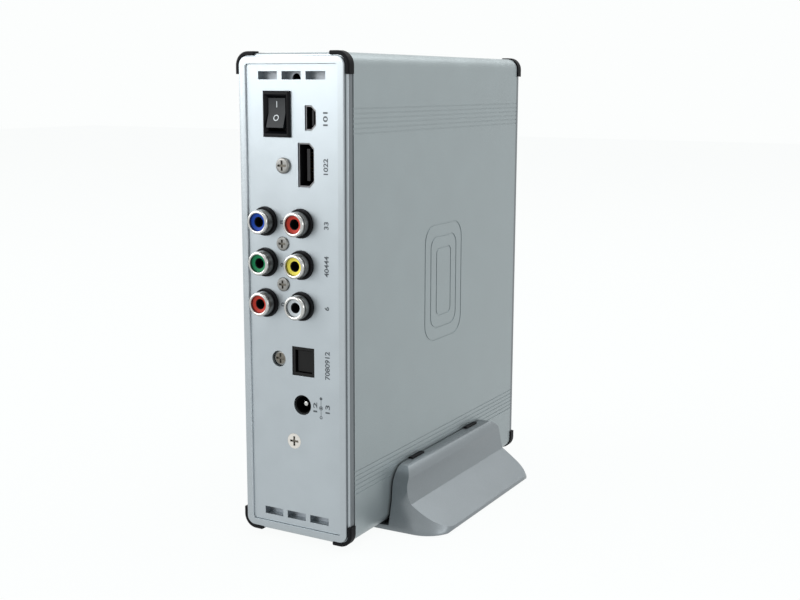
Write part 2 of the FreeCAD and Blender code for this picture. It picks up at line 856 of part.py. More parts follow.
# ---------------------------------------------------------------- connector panel
def vent_places():
    centres = []
    for z in (base + vent_inset, top - vent_inset):
        for index in range(vent_count):
            centres.append(((index - (vent_count - 1) / 2) * vent_pitch, z))
    return centres


def screw_place(spot):
    """X and Z of a screw given by its offset and drop."""
    return (spot[0], top - spot[1])


def jack_places():
    """Jack axes by row from the top: left, then right."""
    centres = []
    for row in range(jack_rows):
        z = jack_high - row * jack_pitch
        centres.append((jack_left, z))
        centres.append((jack_right, z))
    return centres


def window(centre, width, height, depth, grow=0.0):
    """Rectangular block around a centre, grown on every side."""
    x = (centre[0] - width / 2 - grow, centre[0] + width / 2 + grow)
    z = (centre[1] - height / 2 - grow, centre[1] + height / 2 + grow)
    return block(x, depth, z)


def port_prism(centre, width, height, bevel, depth, grow=0.0):
    """Socket outline with two bevelled corners on the side towards the board."""
    x_low = centre[0] - width / 2 - grow
    x_high = centre[0] + width / 2 + grow
    z_low = centre[1] - height / 2 - grow
    z_high = centre[1] + height / 2 + grow
    points = [(x_low, z_low), (x_high - bevel, z_low), (x_high, z_low + bevel),
              (x_high, z_high - bevel), (x_high - bevel, z_high), (x_low, z_high)]
    return prism(points, Y_AXIS, depth)


def video_prism(depth, grow=0.0):
    return port_prism(video_centre, video_port_width, video_port_height, port_bevel, depth, grow)


def data_prism(depth, grow=0.0):
    return port_prism(data_centre, data_port_width, data_port_height, port_bevel, depth, grow)


def switch_body(depth, grow=0.0):
    width = switch_width - 2 * switch_body_margin
    height = switch_height - 2 * switch_body_margin
    return window(switch_centre, width, height, depth, grow)


def socket_holes(depth, gap):
    """What the sockets need cut out of the panel or of the tray's flange."""
    holes = [switch_body(depth, gap), data_prism(depth, gap), video_prism(depth, gap)]
    for centre in jack_places():
        holes.append(rod(Y_AXIS, jack_ring_radius + gap, depth, centre))
    holes.append(window(optical_centre, optical_width, optical_height, depth, gap))
    holes.append(rod(Y_AXIS, power_hole_radius, depth, power_centre))
    for spot in (video_screw, upper_jack_screw, lower_jack_screw, optical_screw, chassis_screw):
        holes.append(rod(Y_AXIS, panel_screw_radius + screw_gap, depth, screw_place(spot)))
    return holes


def raised_screw(spot, seat, radius, height, dome):
    """Screw with a domed cross head whose underside is at seat."""
    centre = screw_place(spot)
    head = rod(Y_AXIS, radius, (seat - height, seat), centre)
    head = head.makeFillet(dome, outline_edges(head, seat - height))
    shank = rod(Y_AXIS, panel_screw_radius, (seat, seat + panel_screw_length), centre)
    return head.fuse(shank).cut(cross_recess(radius, seat - height, centre))


def flat_head(radius, grow):
    """Cone of the countersunk screw, wide end at the panel's face."""
    centre = screw_place(chassis_screw)
    start = Vector(centre[0], face, centre[1])
    return Part.makeCone(radius + grow, panel_screw_radius + grow, flat_head_height, start, Y_AXIS)


def flat_screw():
    centre = screw_place(chassis_screw)
    shank = rod(Y_AXIS, panel_screw_radius, (face + flat_shank_start, face + panel_screw_length), centre)
    return flat_head(panel_head_radius, 0).fuse(shank).cut(cross_recess(panel_head_radius, face, centre))


panel_through = (face - 1, face + panel_thickness + 1)
rear_panel = panel_blank()
for centre in vent_places():
    rear_panel = rear_panel.cut(window(centre, vent_width, vent_height, panel_through))
rear_panel = rear_panel.cut(group(socket_holes(panel_through, fixed_gap)))
rear_panel = rear_panel.cut(flat_head(panel_head_radius, screw_gap))
sunk_seat = face + screw_recess + panel_head_height
sunk_hole = rod(Y_AXIS, panel_head_radius + fixed_gap, (face - 1, sunk_seat), screw_place(optical_screw))
save("rear_panel", rear_panel.cut(sunk_hole))
raised_screws = []
for spot, seat in ((video_screw, face), (optical_screw, sunk_seat)):
    raised_screws.append(raised_screw(spot, seat, panel_head_radius, panel_head_height, screw_dome))
for spot in (upper_jack_screw, lower_jack_screw):
    raised_screws.append(raised_screw(spot, face, jack_head_radius, jack_head_height, jack_head_dome))
save("panel_screws", group(raised_screws))
save("panel_flat_screw", flat_screw())


# ---------------------------------------------------------------- tray chassis
def standoff_places():
    """Y and Z of the four standoffs."""
    y = (flange_inner + board_hole_rear, board_front - board_hole_front)
    z = (board_low + board_hole_inset, board_high - board_hole_inset)
    return [(y[0], z[0]), (y[1], z[0]), (y[0], z[1]), (y[1], z[1])]


def drive_hole_places():
    """Y and Z of the four screws in the underside of the drive."""
    y = (drive_rear + drive_hole_edge, drive_front - drive_hole_edge)
    z = (drive_low + drive_hole_first, drive_low + drive_hole_first + drive_hole_spacing)
    return [(y[0], z[0]), (y[1], z[0]), (y[0], z[1]), (y[1], z[1])]


def cable_span(margin):
    return (drive_middle - cable_width / 2 - margin, drive_middle + cable_width / 2 + margin)


def make_chassis():
    neck_inset = case_wall + tray_side_gap
    flange = outline(neck_inset, (flange_outer, flange_inner), case_corner - neck_inset)
    flange = flange.cut(group(socket_holes((flange_outer - 1, flange_inner + 1), fixed_gap)))
    latch_centre = (0, top - vent_inset - vent_height / 3)
    flange = flange.cut(rod(Y_AXIS, latch_hole_radius, (flange_outer - 1, flange_inner + 1), latch_centre))
    plate_x = (side_plate, side_plate + sheet)
    through = (side_plate - 1, side_plate + sheet + 1)
    plate_end = front - tray_front_gap
    plate = block(plate_x, (flange_inner, plate_end), (inner_low + moving_gap, inner_high - moving_gap))
    socket_z = (power_centre[1] - 2 * power_body_half, switch_centre[1] + switch_height / 2)
    plate = plate.cut(block(through, (flange_inner, flange_inner + jack_block_depth), socket_z))
    cable_z = (cable_low - sheet, drive_low + 2 * sheet)
    plate = plate.cut(block(through, cable_span(sheet), cable_z))
    for spot in standoff_places():
        plate = plate.cut(rod(X_AXIS, small_screw_radius + 2 * screw_gap, through, spot))
    for spot in drive_hole_places():
        plate = plate.cut(rod(X_AXIS, drive_screw_radius + screw_gap, through, spot))
    lip_top = drive_low + drive_hole_first - drive_head_radius - 2 * moving_gap
    lip = block((side_plate, side_plate + front_lip), (plate_end - sheet, plate_end), (board_low, lip_top))
    return joined([flange, plate, lip])


plug_low = drive_low - plug_height
cable_low = plug_low + plug_height / 2 - cable_thickness / 2
save("tray_chassis", make_chassis())

standoffs = []
board_screws = []
post_x = (side_plate + sheet, board_face)
head_x = (board_back, board_back + small_head_height)
for spot in standoff_places():
    standoffs.append(tube(X_AXIS, standoff_radius, small_screw_radius + screw_gap, post_x, spot))
    head = rod(X_AXIS, small_head_radius, head_x, spot)
    shank = rod(X_AXIS, small_screw_radius, (side_plate, board_back), spot)
    recess = cross_recess(small_head_radius, head_x[1] - cross_depth, spot, X_AXIS)
    board_screws.append(head.fuse(shank).cut(recess))
save("board_standoffs", group(standoffs))
save("board_screws", group(board_screws))

drive_screws = []
for y, z in drive_hole_places():
    seat = side_plate + sheet
    head = rod(X_AXIS, drive_head_radius, (seat, seat + drive_head_height), (y, z))
    shank = rod(X_AXIS, drive_screw_radius, (seat - drive_screw_length, seat), (y, z))
    recess = cross_recess(drive_head_radius, seat + drive_head_height - cross_depth, (y, z), X_AXIS)
    drive_screws.append(head.fuse(shank).cut(recess))
save("drive_screws", group(drive_screws))


# ---------------------------------------------------------------- main board and its pieces
board = block((board_face, board_back), (board_rear, board_front), (board_low, board_high))
for y, z in standoff_places():
    board = board.cut(rod(X_AXIS, small_screw_radius + screw_gap, (board_face - 1, board_back + 1), (y, z)))
save("main_board", board)

chip_y = flange_inner + chip_middle[0]
chip_z = base + chip_middle[1]
chip_top = board_back + chip_thickness


def square(size, x, centre):
    """Square block standing on the board around a (y, z) centre."""
    half = size / 2
    return block(x, (centre[0] - half, centre[0] + half), (centre[1] - half, centre[1] + half))


save("decoder_chip", square(chip_size, (board_back, chip_top), (chip_y, chip_z)))

heatsink = square(heatsink_size, (chip_top, chip_top + heatsink_height), (chip_y, chip_z))
fin_pitch = (heatsink_size - heatsink_fin) / (heatsink_fins - 1)
slot_x = (chip_top + heatsink_foot, chip_top + heatsink_height + 1)
for index in range(heatsink_fins - 1):
    low = chip_y - heatsink_size / 2 + heatsink_fin + index * fin_pitch
    slot_y = (low, low + fin_pitch - heatsink_fin)
    heatsink = heatsink.cut(block(slot_x, slot_y, (chip_z - heatsink_size, chip_z + heatsink_size)))
save("chip_heatsink", heatsink)

memory_chips = []
memory_x = (board_back, board_back + memory_thickness)
memory_near = heatsink_size / 2 + memory_gap
memory_far = memory_near + memory_size[0]
for index in range(2):
    z_low = chip_z + (index - 1) * memory_pitch + (memory_pitch - memory_size[1]) / 2
    span_z = (z_low, z_low + memory_size[1])
    memory_chips.append(block(memory_x, (chip_y + memory_near, chip_y + memory_far), span_z))
    memory_chips.append(block(memory_x, (chip_y - memory_far, chip_y - memory_near), span_z))
save("memory_chips", group(memory_chips))

capacitors = []
capacitor_z = board_low + capacitor_rise
capacitor_top = board_back + capacitor_height
for index in range(capacitor_count):
    y = flange_inner + board_hole_rear + (index + 1) * capacitor_pitch
    can = rod(X_AXIS, capacitor_radius, (board_back, capacitor_top), (y, capacitor_z))
    top_edges = [edge for edge in can.Edges if abs(edge.BoundBox.XMin - capacitor_top) < 1e-6]
    capacitors.append(can.makeFillet(capacitor_round, top_edges[:1]))
save("power_capacitors", group(capacitors))

coils = []
coil_top = capacitor_z - capacitor_radius - coil_gap
for index in range(2):
    y = flange_inner + board_hole_rear + (index * 2 + 2) * capacitor_pitch
    x = (board_back, board_back + coil_height)
    coils.append(rounded(x, (y - coil_size / 2, y + coil_size / 2), (coil_top - coil_size, coil_top),
                         coil_corner, X_AXIS))
save("power_coils", group(coils))

receiver_z = (window_low + window_high) / 2
receiver_end = front - receiver_gap
receiver_x = (board_back, board_back + receiver_width)
lens_radius = receiver_width / 2 - receiver_step
receiver_lens = rod(Y_AXIS, lens_radius, (board_front, receiver_end), (light_x, receiver_z))
receiver_body = block(receiver_x, (board_front - receiver_width, board_front + receiver_overhang),
                      (receiver_z - receiver_height / 2, receiver_z + receiver_height / 2))
save("infrared_receiver", receiver_body.fuse(receiver_lens))

status_lights = []
for height in light_heights:
    foot_y = (board_front - light_foot[0], board_front - light_foot[1])
    foot = block((board_back, light_x + light_flange), foot_y, (height - light_flange, height + light_flange))
    bulb = rod(Y_AXIS, light_radius, (foot_y[1], front - moving_gap), (light_x, height))
    status_lights.append(foot.fuse(bulb))
save("status_lights", group(status_lights))

socket_low = board_low + socket_lift
cable_x = (side_plate + sheet + board_face - cable_thickness) / 2
cable_end = socket_low + socket_height / 2
socket = block((cable_x - cable_thickness, board_face), cable_span(socket_margin),
               (socket_low, socket_low + socket_height))
cable_slot = block((cable_x, cable_x + cable_thickness), cable_span(0), (socket_low - 1, cable_end))
save("drive_socket", socket.cut(cable_slot))


# ---------------------------------------------------------------- round jacks
jack_block = block((jack_left - jack_block_margin, board_face),
                   (flange_inner, flange_inner + jack_block_depth),
                   (jack_low - jack_block_margin, jack_high + jack_block_margin))
jack_mouth = rear - jack_reach
jack_end = rear + jack_shell_depth
ring_front = face - jack_ring_proud
neck_front = ring_front - jack_neck
neck_radius = jack_shell_radius - jack_neck_cut
shell_bore = jack_shell_radius - jack_shell_wall
insert_radius = shell_bore - fixed_gap / 2
insert_mouth = jack_mouth + jack_insert_recess
insert_bore = jack_contact_radius + fixed_gap / 2
jack_shells = []
jack_inserts = []
jack_contacts = []
for centre in jack_places():
    jack_block = jack_block.fuse(rod(Y_AXIS, jack_ring_radius, (ring_front, flange_inner), centre))
for centre in jack_places():
    jack_block = jack_block.cut(rod(Y_AXIS, neck_radius + fixed_gap / 2, (ring_front - 1, jack_end), centre))
    free_length = rod(Y_AXIS, jack_shell_radius, (jack_mouth, neck_front), centre)
    shell = free_length.makeFillet(jack_lip_round, outline_edges(free_length, jack_mouth))
    shell = shell.fuse(rod(Y_AXIS, neck_radius, (neck_front, jack_end), centre))
    jack_shells.append(shell.cut(rod(Y_AXIS, shell_bore, (jack_mouth - 1, jack_end + 1), centre)))
    jack_inserts.append(tube(Y_AXIS, insert_radius, insert_bore, (insert_mouth, jack_end), centre))
    jack_contacts.append(tube(Y_AXIS, jack_contact_radius, jack_contact_radius - jack_contact_wall,
                              (jack_mouth + jack_contact_recess, jack_end), centre))
for spot in (upper_jack_screw, lower_jack_screw):
    screw_depth = (face, face + panel_screw_length + 1)
    jack_block = jack_block.cut(rod(Y_AXIS, panel_screw_radius + screw_gap, screw_depth, screw_place(spot)))
save("jack_block", jack_block.removeSplitter())
save("jack_shells", group(jack_shells))
save("jack_contacts", group(jack_contacts))
blue, red_upper, green, yellow, red_lower, white = jack_inserts
save("jack_insert_blue", blue)
save("jack_inserts_red", group([red_upper, red_lower]))
save("jack_insert_green", green)
save("jack_insert_yellow", yellow)
save("jack_insert_white", white)


# ---------------------------------------------------------------- flat ports
def port_shell(prism_of, depth, width, height, centre):
    """Thin metal shell with two solder tabs down to the board."""
    span = (face + port_recess, rear + depth)
    shell = prism_of(span).cut(prism_of((span[0] - 1, span[1] + 1), -port_wall))
    tab_x = (centre[0] + width / 2 - port_wall, board_face)
    tab_y = (span[1] - port_tab_length, span[1])
    reach = height / 2 - port_bevel - port_tab_inset
    for z in (centre[1] - reach, centre[1] + reach - port_tab_width):
        shell = shell.fuse(block(tab_x, tab_y, (z, z + port_tab_width)))
    return shell.removeSplitter()


def port_tongue(prism_of, depth, tongue, centre):
    """Contact tongue on a block of insulation that fills the back of the shell."""
    insulation = prism_of((rear + depth - port_insulation, rear + depth), -port_wall - fixed_gap / 2)
    blade_y = (face + tongue_recess, rear + depth - port_insulation / 2)
    return insulation.fuse(window(centre, tongue[0], tongue[1], blade_y)).removeSplitter()


save("video_port_shell",
     port_shell(video_prism, video_port_depth, video_port_width, video_port_height, video_centre))
save("video_port_tongue", port_tongue(video_prism, video_port_depth, video_tongue, video_centre))
save("data_port_shell",
     port_shell(data_prism, data_port_depth, data_port_width, data_port_height, data_centre))
save("data_port_tongue", port_tongue(data_prism, data_port_depth, data_tongue, data_centre))

# ---------------------------------------------------------------- optical port with its shutter
optical_front = face + optical_recess
cavity_width = optical_width - 2 * optical_wall
cavity_height = optical_height - 2 * optical_wall
cavity_end = optical_front + optical_cavity_depth
shutter_radius = shutter_thickness / 2
pivot_x = optical_centre[0] - cavity_width / 2 + moving_gap + shutter_radius
pivot_y = face + shutter_recess + shutter_radius
shutter_height = cavity_height - 2 * moving_gap
shutter_z = (optical_centre[1] - shutter_height / 2, optical_centre[1] + shutter_height / 2)
pin_z = (shutter_z[0] - optical_wall, shutter_z[1] + optical_wall)
pin_radius = shutter_radius - shutter_pin_cut
pivot = (pivot_x, pivot_y)
housing = window(optical_centre, optical_width, optical_height, (optical_front, rear + optical_depth))
foot_x = (optical_centre[0] + optical_width / 2, board_face)
foot_z = (optical_centre[1] - optical_height / 2, optical_centre[1] + optical_height / 2)
housing = housing.fuse(block(foot_x, (flange_inner, rear + optical_depth), foot_z))
housing = housing.cut(window(optical_centre, cavity_width, cavity_height, (optical_front - 1, cavity_end)))
housing = housing.fuse(rod(Y_AXIS, nozzle_radius, (cavity_end - nozzle_length, cavity_end), optical_centre))
hole = rod(Z_AXIS, pin_radius + running_fit, (pin_z[0] - moving_gap, pin_z[1] + moving_gap), pivot)
save("optical_housing", housing.cut(hole).removeSplitter())
leaf = block((pivot_x, optical_centre[0] + cavity_width / 2 - moving_gap),
             (pivot_y - shutter_radius, pivot_y + shutter_radius), shutter_z)
leaf = leaf.fuse(rod(Z_AXIS, shutter_radius, shutter_z, pivot))
leaf = leaf.fuse(rod(Z_AXIS, pin_radius, pin_z, pivot))
save("optical_shutter", leaf.removeSplitter())

# ---------------------------------------------------------------- power jack
nose_front = face + power_nose_recess
power_end = nose_front + power_bore_depth
nose = rod(Y_AXIS, power_hole_radius - power_nose_gap, (nose_front, flange_inner), power_centre)
body_x = (power_centre[0] - power_body_half, board_face)
body_z = (power_centre[1] - power_body_half, power_centre[1] + power_body_half)
power_body = block(body_x, (flange_inner, rear + power_body_depth), body_z).fuse(nose)
power_body = power_body.cut(rod(Y_AXIS, power_bore_radius, (nose_front - 1, power_end), power_centre))
seat_end = power_end + power_pin_seat
pin_root_radius = power_pin_radius - power_pin_neck_cut
power_body = power_body.cut(rod(Y_AXIS, pin_root_radius + fixed_gap / 2, (power_end, seat_end), power_centre))
save("power_jack_body", power_body.removeSplitter())
pin_y = (face + power_pin_recess, power_end - power_pin_neck)
power_pin = rod(Y_AXIS, power_pin_radius, pin_y, power_centre)
power_pin = power_pin.makeFillet(power_pin_tip, outline_edges(power_pin, pin_y[0]))
power_pin = power_pin.fuse(rod(Y_AXIS, pin_root_radius, (pin_y[1], seat_end), power_centre))
save("power_jack_pin", power_pin)

# ---------------------------------------------------------------- rocker switch
pivot_depth = face + rocker_pivot_depth
cavity_half_x = rocker_width / 2 + moving_gap
cavity_half_z = rocker_length / 2 + rocker_swing_room
cavity_back = pivot_depth + rocker_body_depth + rocker_swing_room


def rectangle(centre, half_x, half_z, y):
    x, z = centre
    corners = [Vector(x - half_x, y, z - half_z), Vector(x + half_x, y, z - half_z),
               Vector(x + half_x, y, z + half_z), Vector(x - half_x, y, z + half_z)]
    return Part.makePolygon(corners + corners[:1])


switch_front = face - switch_bezel_proud
switch_housing = window(switch_centre, switch_width, switch_height, (switch_front, face))
switch_housing = switch_housing.makeChamfer(switch_chamfer, outline_edges(switch_housing, switch_front))
switch_housing = switch_housing.fuse(switch_body((face, face + switch_depth)))
cavity = window(switch_centre, 2 * cavity_half_x, 2 * cavity_half_z, (switch_front - 1, cavity_back))
funnel_mouth = rectangle(switch_centre, cavity_half_x + switch_funnel, cavity_half_z + switch_funnel,
                         switch_front)
funnel_throat = rectangle(switch_centre, cavity_half_x, cavity_half_z, face)
switch_housing = switch_housing.cut(cavity).cut(Part.makeLoft([funnel_mouth, funnel_throat], True))
pin_reach = cavity_half_x + switch_pin_seat
hole_reach = pin_reach + moving_gap
rocker_pin_across = (pivot_depth, switch_centre[1])
hole_span = (switch_centre[0] - hole_reach, switch_centre[0] + hole_reach)
pin_hole = rod(X_AXIS, rocker_pin_radius + running_fit, hole_span, rocker_pin_across)
switch_housing = switch_housing.cut(pin_hole)
blades = []
leads = []
blade_tip = face + switch_depth + blade_length
blade_x = (switch_centre[0] - blade_width / 2, switch_centre[0] + blade_width / 2)
blade_y = (face + switch_depth - blade_seat, blade_tip)
for side in (-1, 1):
    z = switch_centre[1] + side * blade_spacing / 2
    blade = block(blade_x, blade_y, (z - blade_thickness / 2, z + blade_thickness / 2))
    switch_housing = switch_housing.cut(blade)
    blades.append(blade)
    start = Vector(switch_centre[0], blade_tip, z)
    turn = Vector(switch_centre[0], blade_tip + lead_radius, z)
    slant = math.sqrt(0.5)
    arc_middle = Vector(turn.x + lead_bend * (1 - slant), turn.y + lead_bend * slant, z)
    arc_end = Vector(turn.x + lead_bend, turn.y + lead_bend, z)
    end = Vector(board_face, arc_end.y, z)
    path = Part.Wire([Part.makeLine(start, turn), Part.Arc(turn, arc_middle, arc_end).toShape(),
                      Part.makeLine(arc_end, end)])
    section = Part.Wire(Part.makeCircle(lead_radius, start, Y_AXIS))
    leads.append(path.makePipeShell([section], True, False))
save("switch_housing", switch_housing.removeSplitter())
save("switch_terminals", group(blades))
save("switch_leads", group(leads))

half_length = rocker_length / 2
dip = half_length * math.tan(math.radians(rocker_swing))
back_half = half_length - rocker_back_taper
outline_points = [(pivot_depth - rocker_reach, switch_centre[1] - half_length),
                  (pivot_depth - rocker_reach + dip, switch_centre[1]),
                  (pivot_depth - rocker_reach, switch_centre[1] + half_length),
                  (pivot_depth, switch_centre[1] + half_length),
                  (pivot_depth + rocker_body_depth, switch_centre[1] + back_half),
                  (pivot_depth + rocker_body_depth, switch_centre[1] - back_half),
                  (pivot_depth, switch_centre[1] - half_length)]
rocker_x = (switch_centre[0] - rocker_width / 2, switch_centre[0] + rocker_width / 2)
pin_span = (switch_centre[0] - pin_reach, switch_centre[0] + pin_reach)
rocker = prism(outline_points, X_AXIS, rocker_x)
rocker = rocker.fuse(rod(X_AXIS, rocker_pin_radius, pin_span, rocker_pin_across))
rocker.rotate(Vector(switch_centre[0], pivot_depth, switch_centre[1]), X_AXIS, -rocker_swing)
save("switch_rocker", rocker.removeSplitter())


# ---------------------------------------------------------------- hard drive
cover_inside = drive_far + drive_cover_thickness
recess_x = side_plate - drive_board_recess
floor_x = recess_x - drive_floor
cavity_radius = drive_width / 2 - drive_wall
platter_radius = cavity_radius - platter_gap
disc_z = drive_high - drive_width / 2
disc_across = (drive_middle, disc_z)
arm_y = drive_front - drive_wall - arm_pivot_wall
arm_across = (arm_y, disc_z - math.sqrt((platter_radius + arm_pivot_rim) ** 2 - (arm_y - drive_middle) ** 2))
board_y = (drive_rear + drive_board_edge, drive_front - drive_board_edge)
hub_x = (floor_x - moving_gap - hub_height, floor_x - moving_gap)
disc_x = (hub_x[0] + hub_x[1]) / 2
connector_x = (recess_x - connector_thickness, recess_x)
connector_y = (drive_middle - connector_width / 2, drive_middle + connector_width / 2)
connector_z = (drive_low, drive_low + connector_depth)


def cover_screw_places():
    """Y and Z of the six screws of the drive's cover: its corners, the spindle and the arm's pivot."""
    y = (drive_rear + cover_screw_inset, drive_front - cover_screw_inset)
    z = (drive_low + cover_screw_inset, drive_high - cover_screw_inset)
    return [(y[0], z[0]), (y[1], z[0]), (y[0], z[1]), (y[1], z[1]), disc_across, arm_across]


def make_drive_base():
    casting = block((cover_inside, side_plate), (drive_rear, drive_front), (drive_low, drive_high))
    room = rod(X_AXIS, cavity_radius, (cover_inside - 1, floor_x), disc_across)
    pocket = block((cover_inside - 1, floor_x), (drive_rear + drive_wall, drive_front - drive_wall),
                   (connector_z[1] + drive_wall, disc_z))
    casting = casting.cut(room).cut(pocket)
    recess = block((recess_x, side_plate + 1), board_y, (drive_low - 1, drive_low + drive_board_length))
    casting = casting.cut(recess).cut(block(connector_x, connector_y, (drive_low - 1, connector_z[1])))
    for across in (disc_across, arm_across):
        casting = casting.fuse(rod(X_AXIS, spindle_radius, (cover_inside, floor_x), across))
    for spot in drive_hole_places():
        hole_x = (side_plate + sheet - drive_screw_length, side_plate + 1)
        casting = casting.cut(rod(X_AXIS, drive_screw_radius + screw_gap, hole_x, spot))
    for across in cover_screw_places():
        hole_x = (cover_inside - 1, drive_far + cover_screw_length)
        casting = casting.cut(rod(X_AXIS, cover_screw_radius + screw_gap, hole_x, across))
    return casting.removeSplitter()


def make_drive_cover():
    cover = rounded((drive_far, cover_inside), (drive_rear, drive_front), (drive_low, drive_high),
                    cover_corner, X_AXIS)
    hole_x = (drive_far - 1, cover_inside + 1)
    for across in cover_screw_places():
        cover = cover.cut(rod(X_AXIS, cover_screw_radius + screw_gap, hole_x, across))
    return cover


def make_platter():
    disc_span = (disc_x - platter_thickness / 2, disc_x + platter_thickness / 2)
    disc = rod(X_AXIS, platter_radius, disc_span, disc_across)
    hub = rod(X_AXIS, hub_radius, hub_x, disc_across)
    bore = rod(X_AXIS, spindle_radius + running_fit, (hub_x[0] - 1, hub_x[1] + 1), disc_across)
    return disc.fuse(hub).cut(bore)


def make_head_arm():
    """Barrel with two thin arms that straddle the disc, and a coil behind the pivot."""
    y, z = arm_across
    barrel = rod(X_AXIS, arm_barrel_radius, hub_x, arm_across)
    for side in (-1, 1):
        offset = side * (platter_thickness / 2 + arm_gap + arm_thickness / 2)
        span = (disc_x + offset - arm_thickness / 2, disc_x + offset + arm_thickness / 2)
        points = [(y, z - arm_root_half), (y + arm_length, z - arm_tip_half),
                  (y + arm_length, z + arm_tip_half), (y, z + arm_root_half)]
        barrel = barrel.fuse(prism(points, X_AXIS, span))
    coil_x = (disc_x - coil_thickness / 2, disc_x + coil_thickness / 2)
    points = [(y, z - arm_root_half), (y - coil_reach, z - coil_half),
              (y - coil_reach, z + coil_half), (y, z + arm_root_half)]
    arm = barrel.fuse(prism(points, X_AXIS, coil_x))
    arm = arm.cut(rod(X_AXIS, spindle_radius + running_fit, (hub_x[0] - 1, hub_x[1] + 1), arm_across))
    towards_axis = math.degrees(math.atan2(disc_z - z, drive_middle - y))
    arm.rotate(Vector(0, y, z), X_AXIS, towards_axis + arm_park)
    return arm


def make_magnets():
    """Magnet blocks above and below the coil."""
    y = (arm_across[0] + magnet_near, arm_across[0] + magnet_far)
    z = (arm_across[1] - magnet_drop, arm_across[1] + magnet_rise)
    clear = coil_thickness / 2 + moving_gap
    return [block((disc_x + clear, floor_x), y, z), block((cover_inside, disc_x - clear), y, z)]


def drive_board_pieces():
    board_x = (recess_x, recess_x + drive_board_thickness)
    plate = block(board_x, (board_y[0] + fixed_gap, board_y[1] - fixed_gap),
                  (connector_z[1] + fixed_gap, drive_low + drive_board_length - fixed_gap))
    pieces = [plate]
    for index in range(2):
        z = connector_z[1] + (index + 1) * 2 * drive_chip_size
        centre = (drive_middle + (index * 2 - 1) * drive_chip_size, z)
        pieces.append(square(drive_chip_size, (board_x[1], board_x[1] + drive_board_thickness), centre))
    return pieces


save("drive_base", make_drive_base())
save("drive_cover", make_drive_cover())
save("drive_platter", make_platter())
save("drive_head_arm", make_head_arm())
save("drive_magnets", group(make_magnets()))
save("drive_board", group(drive_board_pieces()))

cover_screws = []
for across in cover_screw_places():
    head = rod(X_AXIS, cover_head_radius, (drive_far - cover_head_height, drive_far), across)
    shank = rod(X_AXIS, cover_screw_radius, (drive_far, drive_far + cover_screw_length), across)
    cover_screws.append(head.fuse(shank))
save("drive_cover_screws", group(cover_screws))

plug_slot = block((connector_x[0] + connector_wall, connector_x[1] - connector_wall),
                  (connector_y[0] + connector_wall, connector_y[1] - connector_wall),
                  (drive_low - 1, connector_z[1] - connector_wall))
save("drive_connector", block(connector_x, connector_y, connector_z).cut(plug_slot))

# ---------------------------------------------------------------- flat cable of the drive
plug = block(connector_x, cable_span(plug_margin), (plug_low, drive_low))
cable_far = cable_x + cable_thickness
lower_run = block((connector_x[1], cable_far), cable_span(0), (cable_low, cable_low + cable_thickness))
upper_run = block((cable_x, cable_far), cable_span(0), (cable_low, cable_end))
ribbon = joined([lower_run, upper_run])
outer_bend = []
for edge in edges_along(ribbon, Y_AXIS):
    point = edge.CenterOfMass
    if abs(point.x - cable_far) < 1e-6 and abs(point.z - cable_low) < 1e-6:
        outer_bend.append(edge)
ribbon = ribbon.makeFillet(cable_bend, outer_bend)
save("drive_cable", joined([ribbon, plug]))
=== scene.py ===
import json
import math

import bmesh
import bpy
from mathutils import Matrix, Vector

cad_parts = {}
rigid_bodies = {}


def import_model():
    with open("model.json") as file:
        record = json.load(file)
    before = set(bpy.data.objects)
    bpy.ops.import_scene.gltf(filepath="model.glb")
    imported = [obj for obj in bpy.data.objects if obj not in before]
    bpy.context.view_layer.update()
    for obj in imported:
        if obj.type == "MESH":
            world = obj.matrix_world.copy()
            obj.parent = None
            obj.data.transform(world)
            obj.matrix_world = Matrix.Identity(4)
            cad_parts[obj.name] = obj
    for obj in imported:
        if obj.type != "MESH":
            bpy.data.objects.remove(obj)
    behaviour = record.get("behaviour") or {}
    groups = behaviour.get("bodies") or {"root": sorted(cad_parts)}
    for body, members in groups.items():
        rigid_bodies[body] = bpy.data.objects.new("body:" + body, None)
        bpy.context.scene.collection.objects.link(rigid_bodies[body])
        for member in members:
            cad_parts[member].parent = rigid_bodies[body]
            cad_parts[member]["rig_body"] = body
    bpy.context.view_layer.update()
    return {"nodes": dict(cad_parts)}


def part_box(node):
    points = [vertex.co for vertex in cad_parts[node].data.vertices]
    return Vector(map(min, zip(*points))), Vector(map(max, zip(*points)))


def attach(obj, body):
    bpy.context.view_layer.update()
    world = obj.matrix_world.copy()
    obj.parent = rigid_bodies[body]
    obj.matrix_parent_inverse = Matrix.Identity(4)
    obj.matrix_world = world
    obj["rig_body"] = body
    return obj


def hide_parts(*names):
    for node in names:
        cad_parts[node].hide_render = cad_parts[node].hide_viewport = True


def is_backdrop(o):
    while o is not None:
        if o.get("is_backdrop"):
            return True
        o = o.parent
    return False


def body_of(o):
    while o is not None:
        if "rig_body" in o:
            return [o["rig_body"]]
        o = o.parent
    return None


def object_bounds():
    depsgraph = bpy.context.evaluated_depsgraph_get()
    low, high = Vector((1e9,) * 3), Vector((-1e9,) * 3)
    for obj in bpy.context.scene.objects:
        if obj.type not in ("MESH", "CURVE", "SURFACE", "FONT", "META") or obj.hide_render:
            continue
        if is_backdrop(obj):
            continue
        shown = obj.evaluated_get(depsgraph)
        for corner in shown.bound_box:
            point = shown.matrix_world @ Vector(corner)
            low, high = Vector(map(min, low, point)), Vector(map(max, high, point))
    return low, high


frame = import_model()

MM = 0.001

